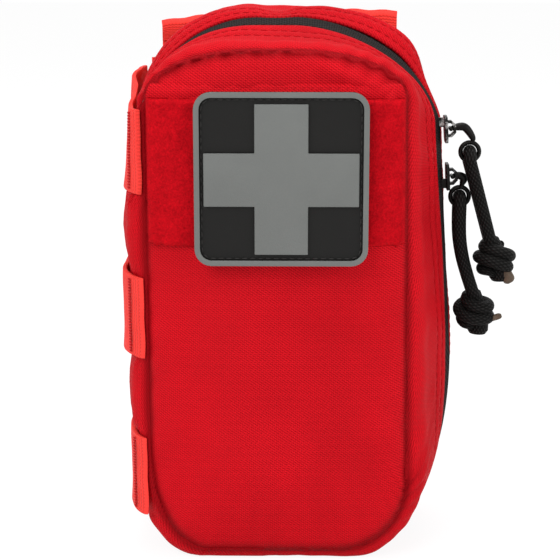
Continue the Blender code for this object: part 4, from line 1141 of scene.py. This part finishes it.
def panel_y(x, z, r, i):
    """The front panel's outer face, with its slack and the puckers along its seam."""
    s = sizes()
    from_seam = (1 - r) * PANEL_REACH
    along = case().length(i)
    phase = along * 560 + 3.0 * noise.noise(Vector((along * 40, 7.3, 2.2)))
    size = s.pucker * (0.6 + 0.8 * noise.noise(Vector((along * 20, 5.0, 1.0))))
    size *= 0.2 + 0.8 * ramp(z, 0.004, 0.032)
    out = size * math.sin(phase) * math.exp(-(from_seam / 0.0045)) * min(1.0, from_seam / 0.0010)
    slack = noise.fractal(Vector((x * 30, 9.0, z * 22)), 1.0, 2.0, 3)
    out += s.slack * 0.75 * slack * min(1.0, from_seam / 0.006)
    # the fold that slants down over the upper right corner
    fold = hump(z - 0.1560 + 0.42 * (x - 0.012), 0.0021)
    out += 0.0010 * fold * ramp(x, 0.006, 0.018) * min(1.0, from_seam / 0.003)
    return panel_bulge(r) - out + 0.0012 * hump(from_seam, 0.0012)


LOOP_EDGE = 0.0044                      # height of the plain edge above the loops
LOOP_WIDE, LOOP_TALL = 0.078, 0.048     # about the size of the loop tape, for its rounded rim


class POUCH_OT_loop_tape(bpy.types.Operator):
    """Loop tape across the front"""
    bl_idname = "pouch.loop_tape"
    bl_label = "Loop tape"

    def execute(self, context):
        low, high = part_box("loop_field")
        front = case().seams[-1]
        sides = list(zip(front, front[1:] + front[:1]))
        mid = centre_of(front)

        def edge(z, side):
            """Where the panel ends at a height."""
            best = 0.0
            for a, b in sides:
                if (a.y - z) * (b.y - z) <= 0 and abs(a.y - b.y) > 1e-9:
                    x = a.x + (b.x - a.x) * (z - a.y) / (b.y - a.y)
                    best = x if (x - best) * side > 0 else best
            return best

        def reach(x, z):
            """The share of the way from the middle to the seam."""
            d = Vector((x, z)) - mid
            best = 1e-6
            for a, b in sides:
                e, p = b - a, a - mid
                det = d.x * e.y - d.y * e.x
                if abs(det) < 1e-14:
                    continue
                t = (p.x * e.y - p.y * e.x) / det
                w = (p.x * d.y - p.y * d.x) / det
                if t > 0 and -1e-6 <= w <= 1 + 1e-6:
                    best = max(best, 1 / t)
            return min(1.0, best)

        def point(u, z, lift):
            left, right = edge(z, -1) + 0.0009, edge(z, 1) - 0.0009
            x = left + (right - left) * u
            return Vector((x, panel_bulge(reach(x, z)) - lift, z))

        def pile(u, v):
            ragged = 0.0009 * noise.noise(Vector((u * 46, 1.0, 0.0))) if v < 0.5 else 0.0
            foot, top = low.z + 0.0004, high.z - 0.0042
            rim = min(u * LOOP_WIDE, (1 - u) * LOOP_WIDE, v * LOOP_TALL, (1 - v) * LOOP_TALL)
            fluff = 0.00025 * noise.noise(Vector((u * 260, v * 160, 3.0)))
            z = foot + (top - foot) * v + ragged * (1 - v)
            return point(u, z, 0.0006 + 0.0010 * min(1.0, rim / 0.0011) + fluff)
        face = sheet("loop_tape_pile", 170, 110, pile, loop_pile(), "lid")
        dress(thicken(face, 0.0010), "red_loop", "loop_field")

        def selvedge(u, v):
            rim = min(v, 1 - v) * LOOP_EDGE
            lift = 0.0001 + 0.0006 * min(1.0, rim / 0.0016)
            return point(u, high.z - LOOP_EDGE + LOOP_EDGE * v, lift)
        thicken(sheet("loop_tape_selvedge", 110, 10, selvedge, case_cloth(), "lid"), 0.0007)
        thread = sewing_thread()
        for name, z, lift in (("top", high.z - 0.0012, 0.0004), ("foot", low.z + 0.0014, 0.0013)):
            line = [(point(k / 60, z, lift), Vector((0, -1, 0))) for k in range(61)]
            stitches("loop_tape_stitches_" + name, line, thread, "lid", 0.0026, 0.00045, height=0.0003)
        return {"FINISHED"}


COIL_PITCH = 0.0015
COIL_OFF = 0.0009                       # from the zip's middle to each half of the coil
TAPE_UNDER = 0.0036                     # how far a zip tape runs on under the cloth
RING_R = 0.0029
ARMS = {"upper": ((0.0020, 0.0005), (0.0046, 0.0003)), "lower": ((0.0018, 0.0003), (0.0036, -0.0005))}


class POUCH_OT_zip(bpy.types.Operator):
    """Zip tapes, coil and sliders with their pulls"""
    bl_idname = "pouch.zip"
    bl_label = "Zip"

    def execute(self, context):
        shape = case()
        first, last = shape.zip_first - 0.6, shape.zip_last + 0.6
        for side, sign, body in (("front", -1, "lid"), ("back", 1, "case")):
            def place(u, v, sign=sign):
                i = first + (last - first) * u
                edge = shape.zip_edge(i, sign)
                deep = 0.0001 + (edge + TAPE_UNDER) * v
                sink = 0.0005 + 0.0012 * ramp(deep, edge - 0.0010, edge)
                return shape.bare(i, sign * deep) - shape.normal(i, sign * deep) * sink

            def uv(u, v, co):
                return (v * 0.0080, shape.length(first + (last - first) * u))
            name = "zip_tape_" + side
            o = sheet(name + "_cloth", int(last - first) * 2, 14, place, zip_cloth(), body, uv, flip=sign < 0)
            dress(thicken(o, 0.0007), "zip_tape", name)
            coil("zip_coil_" + side, shape, first, last, sign, body)
        black, wear_and_painted_light = colour_of("black"), (0.42, 0.41, 0.40)
        for which, share in (("upper", 0.52), ("lower", 0.40)):
            metal = coated_metal("slider metal " + which, shade(black, 1.2), wear_and_painted_light, share)
            copy_of("slider_" + which, "slider_%s_body" % which, metal, "slider_metal", 0.00016)
            pull(which, coated_metal("pull metal", black, wear_and_painted_light, 0.34))
        return {"FINISHED"}


def pull(which, metal):
    """A pin, a bent arm and the ring that the cord hangs in, as one piece."""
    pin = joint_place(which + "_pull_swing")
    mid = joint_place(which + "_cord_swing") + Vector((0, 0, RING_R))
    arm = [pin + Vector((x, 0, z)) for x, z in ((0.0002, 0), *ARMS[which])]
    path = dense(arm + [mid + Vector((0.0008, 0, 0.0042)), mid + Vector((0.0002, 0, 0.0027))], 8)
    radii = [0.0006 + 0.0007 * math.sin(math.pi * min(1.0, k / len(path) * 1.15)) for k in range(len(path))]
    across = [pin + Vector((0, -0.0019 + 0.0038 * k / 4, 0)) for k in range(5)]
    turns = [math.tau * k / 40 for k in range(41)]
    ring = [mid + Vector((RING_R * math.sin(a), 0, RING_R * math.cos(a))) for a in turns]
    bm = bmesh.new()
    for line, thick, around in ((path, radii, 14), (across, 0.0006, 12), (ring, 0.00072, 12)):
        o = tube("part", line, thick, around, metal)
        bm.from_mesh(o.data)
        bpy.data.objects.remove(o)
    dress(finish_piece(bm, "pull_%s_ring" % which, metal, which + "_pull"), "pull_metal", "pull_" + which)


def coil(name, shape, first, last, sign, body):
    """Turns of the coil, one half on each tape."""
    bm = bmesh.new()
    places = [first + (last - first) * k / 900 for k in range(901)]
    table = [shape.length(i) for i in places]
    j = 0
    for k in range(int((table[-1] - table[0]) / COIL_PITCH)):
        want = table[0] + COIL_PITCH * (k + (0.25 if sign < 0 else 0.75))
        while j < 899 and table[j + 1] < want:
            j += 1
        part = (want - table[j]) / max(1e-9, table[j + 1] - table[j])
        i = first + (last - first) * (j + min(1.0, part)) / 900
        y = sign * COIL_OFF
        out = shape.normal(i, y)
        ahead = (shape.bare(i + 0.3, y) - shape.bare(i - 0.3, y)).normalized()
        bead(bm, shape.bare(i, y) - out * 0.0016, ahead, out, (0.00085, 0.0021, 0.0010))
    dress(finish_piece(bm, name + "_teeth", coil_plastic(), body), "zip_coil", name)


class POUCH_OT_stitching(bpy.types.Operator):
    """Stitches of the seams and along the zip"""
    bl_idname = "pouch.stitching"
    bl_label = "Stitching"

    def execute(self, context):
        shape = case()
        first, last = shape.zip_first - 0.4, shape.zip_last + 0.4
        pitch = sizes().stitch
        for sign, side, body in ((-1, "front", "lid"), (1, "back", "case")):
            for label, from_edge in zip(("near", "far"), STITCH_ROWS[sign]):
                line = []
                for k in range(421):
                    i = first + (last - first) * k / 420
                    y = sign * (shape.zip_edge(i, sign) + from_edge)
                    line.append((shape.wall(i, y, 0.0001), shape.normal(i, y)))
                stitches("zip_stitches_%s_%s" % (side, label), line, sewing_thread(), body, pitch, 0.0005)
        line = []
        n = shape.n
        out = Vector((0, -0.9, 0.4)).normalized()
        for k in range(301):
            p = shape.at(shape.seams[-1], LEFT + n * 0.35 + (LEVEL * 0.85 + n * 0.65) * k / 300)
            line.append((Vector((p.x, -SEAM[-1] - 0.0002, p.y - 0.0004)), out))
        dark = sewing_thread("seam thread", (0.27, 0.004, 0.008))
        stitches("seam_stitches_front", line, dark, "lid", pitch * 1.5, 0.0007, 0.74)
        return {"FINISHED"}


def ribbon(name, path, side, body, nodes, wave=0.0):
    """Red webbing along a path; side is the direction of its width, and it faces side.cross(path)."""
    pts = dense(path, 6)
    n = len(pts)
    lengths = lengths_of(pts)
    side = Vector(side)

    def along(v):
        k = min(int(v * (n - 1)), n - 2)
        return k, v * (n - 1) - k

    def place(u, v):
        k, part = along(v)
        t = (pts[k + 1] - pts[max(k - 1, 0)]).normalized()
        ripple = wave * noise.noise(Vector((u * 2.2, lengths[k] * 60, len(name))))
        return pts[k].lerp(pts[k + 1], part) + side * ((u - 0.5) * WEB_WIDTH) + side.cross(t) * ripple

    def uv(u, v, co):
        k, part = along(v)
        return (u * WEB_WIDTH, lengths[k] + (lengths[k + 1] - lengths[k]) * part)
    o = sheet(name, 14, n - 1, place, webbing_cloth(), body, uv)
    return dress(thicken(o, sizes().webbing, offset=1.0, rim=0.0003), "red_webbing", *nodes)


def bar_tack(name, spot, out, thread, body, height=0.0004):
    """Close stitches over the width of a webbing; spot(d) is the place at a distance from its middle."""
    half = WEB_WIDTH / 2 - 0.001
    line = [(spot(half * (m / 12 - 1)), Vector(out)) for m in range(25)]
    stitches(name, line, thread, body, 0.0009, 0.0018, 0.8, height)


# depths of the points along a side row, from the rear to the front
ROW_STOPS = (ROW_BACK, 0.0245, 0.0210, 0.0170, 0.0130, 0.0090, 0.0050, 0.0020, 0.0,
             -0.0020, -0.0050, -0.0090, -0.0130, -0.0170, -0.0210, -0.0240, ROW_FRONT)
BAR_SIDE = 0.0408                       # the outer bars of a back row, from its middle
STRAP_SAG = {-1: (-0.0052, -0.0018), 1: (-0.0012, -0.0020)}     # at the -X and +X edges of each strap's top


class POUCH_OT_webbing(bpy.types.Operator):
    """Webbing rows, back straps and their tails"""
    bl_idname = "pouch.webbing"
    bl_label = "Webbing"

    def execute(self, context):
        thread = sewing_thread("bar thread", (0.42, 0.012, 0.014))
        shape = case()
        for k in (1, 2, 3):
            z = middle("side_row_front_%d" % k).z
            lift = 0.0021 if k == 1 else 0.0012
            path = []
            for y in ROW_STOPS:
                share = abs(y) / SEAM[side_of(y)]
                bump = lift * math.sin(math.pi * (share - 0.22) / 0.67) if 0.22 < share < 0.89 else 0.0
                path.append(Vector((-bump * (0.4 if y < 0 else 1.0), y, z)))
            o = ribbon("side_row_%d" % k, path, (0, 0, -1), None, (), 0.0006)
            settle(o)
            for v in o.data.vertices:
                v.co.x += shape.row_x(k, v.co.y, v.co.z - z)
                v.co.z += shape.row_rise(k, v.co.y)
            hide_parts("side_row_front_%d" % k, "side_row_rear_%d" % k)
            across_hinge(o)
            for y, body, label in ((-0.0225, "lid", "front"), (0.0240, "case", "rear")):
                def spot(d, y=y, k=k, z=z):
                    return Vector((shape.row_x(k, y, d) - 0.0018, y, z + d + shape.row_rise(k, y)))
                out = (-0.8, 0.5 * side_of(y), 0)
                bar_tack("side_row_%d_bar_%s" % (k, label), spot, out, thread, body, 0.0005)
        strap_y = SEAM[1] + CLEAR
        row_y = strap_y + sizes().webbing + CLEAR
        near, far = WEB_SIDE - WEB_WIDTH / 2 - CLEAR, WEB_SIDE + WEB_WIDTH / 2 + CLEAR
        half = ((near - 0.0022, strap_y), (near - 0.0004, row_y), (WEB_SIDE, row_y),
                (far + 0.0002, row_y), (far + 0.0014, strap_y), (0.0417, strap_y))
        for k in (1, 2, 3):
            z = middle("back_row_%d" % k).z
            flat_path = [(-x, y) for x, y in reversed(half)] + [(0, strap_y), *half]
            path = [Vector((x, y, z)) for x, y in flat_path]
            ribbon("back_row_%d_web" % k, path, (0, 0, 1), "case", ("back_row_%d" % k,), 0.0002)
            for s, x in enumerate((-BAR_SIDE, 0.0, BAR_SIDE), 1):
                def spot(d, x=x, z=z):
                    return Vector((x, strap_y + 0.0014, z + d))
                bar_tack("back_row_%d_bar_%d" % (k, s), spot, (0, 1, 0), thread, "case")
        for sign, label in ((-1, "left"), (1, "right")):
            strap(sign, label, strap_y)
        return {"FINISHED"}


def strap(sign, label, low_y):
    """A back strap, turned over at its top, with its tail and snap."""
    x = sign * WEB_SIDE
    t = sizes().webbing
    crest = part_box("strap_" + label)[1].z - t
    row_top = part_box("back_row_1")[1].z
    inner, outer = low_y + t, low_y + t + 0.0011
    half_way = (crest + row_top) / 2
    path = [(x, inner, row_top + 0.0060), (x, inner, half_way), (x, inner, crest - 0.0012)]
    path += [(x, inner + 0.0003, crest - 0.0003), (x, outer - 0.0003, crest - 0.0003)]
    path += [(x, outer, crest - 0.0012), (x, outer, half_way), (x, outer, row_top + 0.0066)]
    path += [(x, low_y, z) for z in (row_top + 0.0010, 0.10, 0.06, 0.0240)]
    o = ribbon("strap_%s_web" % label, path, (1, 0, 0), "case", ("strap_" + label,))
    sag = STRAP_SAG[sign]
    for v in o.data.vertices:
        u = (v.co.x - x) / WEB_WIDTH + 0.5
        drop = sag[0] + (sag[1] - sag[0]) * u + 0.0002 * math.sin(u * 17)
        v.co.z += drop * ramp(v.co.z, 0.1560, crest)

    def spot(d):
        return Vector((x + d, outer + t + 0.0001, crest - 0.0052))
    bar_tack("strap_%s_bar" % label, spot, (0, 1, 0), sewing_thread("bar thread"), "case")
    tail = "strap_tail_" + label
    copy_of(tail, tail + "_web", webbing_cloth("webbing tail"), "red_webbing", 0.0003)
    steel = coated_metal("snap metal", (0.50, 0.50, 0.49), (0.72, 0.72, 0.70), 0.45, 0.30, 1.0)
    for name in ("snap_cap_" + label, "snap_stud_" + label):
        copy_of(name, name + "_metal", steel, "snap_metal", 0.0001)


PATCH_TILT = math.radians(1.2)
PATCH_CORNER = 0.0030                   # radius of the stitches' corners
PATCH_INSET = 0.00215                   # from the patch's edge to its stitches


class POUCH_OT_patch(bpy.types.Operator):
    """Moulded patch with its border and cross"""
    bl_idname = "pouch.patch"
    bl_label = "Patch"

    def execute(self, context):
        black = patch_vinyl("patch black vinyl", colour_of("black"), 0.42)
        grey = patch_vinyl("patch grey vinyl", colour_of("grey"), 0.50)
        copy_of("patch_hook", "patch_hook_backing", hook_backing(), "patch_hook", 0.0001)
        for name, vinyl, slot in (("patch_base", black, "patch_black"), ("patch_border", grey, "patch_grey"),
                                  ("patch_cross", grey, "patch_grey")):
            copy_of(name, name + "_moulding", vinyl, slot, 0.00028, 3)
        low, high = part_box("patch_base")
        reach = (high.x - low.x) / 2 - PATCH_INSET - PATCH_CORNER
        up = Vector((0, math.sin(PATCH_TILT), math.cos(PATCH_TILT)))
        out = Vector((0, -math.cos(PATCH_TILT), math.sin(PATCH_TILT)))
        line = []
        for q, (sx, sz) in enumerate(((1, 1), (-1, 1), (-1, -1), (1, -1))):
            for k in range(7):
                a = math.radians(90 * q + 15 * k)
                x, z = sx * reach + PATCH_CORNER * math.cos(a), sz * reach + PATCH_CORNER * math.sin(a)
                line.append(((low + high) / 2 + Vector((x, 0, 0)) + up * z + out * 0.00075, out))
        line.append(line[0])
        thread = sewing_thread("black thread", (0.030, 0.029, 0.028))
        stitches("patch_stitches", line, thread, "patch", 0.0023, 0.00055, 0.75, 0.0004)
        return {"FINISHED"}


class POUCH_OT_inside(bpy.types.Operator):
    """Fittings and supplies inside"""
    bl_idname = "pouch.inside"
    bl_label = "Inside"

    def execute(self, context):
        elastic, plain, gauze = webbing_cloth("elastic", "lining", 0.0009), lining_cloth(), gauze_cloth()
        for name, cloth, slot, bevel in (("elastic_band", elastic, "binding", 0.0002),
                                         ("slip_pocket", plain, "binding", 0.0002),
                                         ("lid_pocket", plain, "zip_tape", 0.0002),
                                         ("gauze_pack", wrapper_paper(), "gauze_white", 0.0008),
                                         ("plaster_pack", wrapper_paper(), "paper_white", 0.0006),
                                         ("bandage_roll_left", gauze, "gauze_white", 0.0003),
                                         ("bandage_roll_right", gauze, "gauze_white", 0.0003)):
            copy_of(name, name + "_dressed", cloth, slot, bevel)
        return {"FINISHED"}


class POUCH_PT_panel(bpy.types.Panel):
    """Pouch tools"""
    bl_label = "First Aid Pouch"
    bl_idname = "POUCH_PT_panel"
    bl_space_type = "VIEW_3D"
    bl_region_type = "UI"
    bl_category = "Pouch"

    def draw(self, context):
        for name in ("pouch_sizes", "pouch_colours", "pouch_stage"):
            group_ = getattr(context.scene, name)
            for key in group_.__annotations__:
                self.layout.prop(group_, key)
        for cls in OPERATORS:
            self.layout.operator(cls.bl_idname)


OPERATORS = (POUCH_OT_stage, POUCH_OT_cords, POUCH_OT_case, POUCH_OT_loop_tape, POUCH_OT_zip,
             POUCH_OT_stitching, POUCH_OT_webbing, POUCH_OT_patch, POUCH_OT_inside)
GROUPS = (PouchSizes, PouchColours, PouchStage)


def register():
    for cls in GROUPS + OPERATORS + (POUCH_PT_panel,):
        bpy.utils.register_class(cls)
    bpy.types.Scene.pouch_sizes = PointerProperty(type=PouchSizes)
    bpy.types.Scene.pouch_colours = PointerProperty(type=PouchColours)
    bpy.types.Scene.pouch_stage = PointerProperty(type=PouchStage)


def unregister():
    del bpy.types.Scene.pouch_stage
    del bpy.types.Scene.pouch_colours
    del bpy.types.Scene.pouch_sizes
    for cls in reversed(GROUPS + OPERATORS + (POUCH_PT_panel,)):
        bpy.utils.unregister_class(cls)


def main():
    register()
    for cls in OPERATORS:
        section, name = cls.bl_idname.split(".")
        getattr(getattr(bpy.ops, section), name)()


if __name__ == "__main__":
    main()
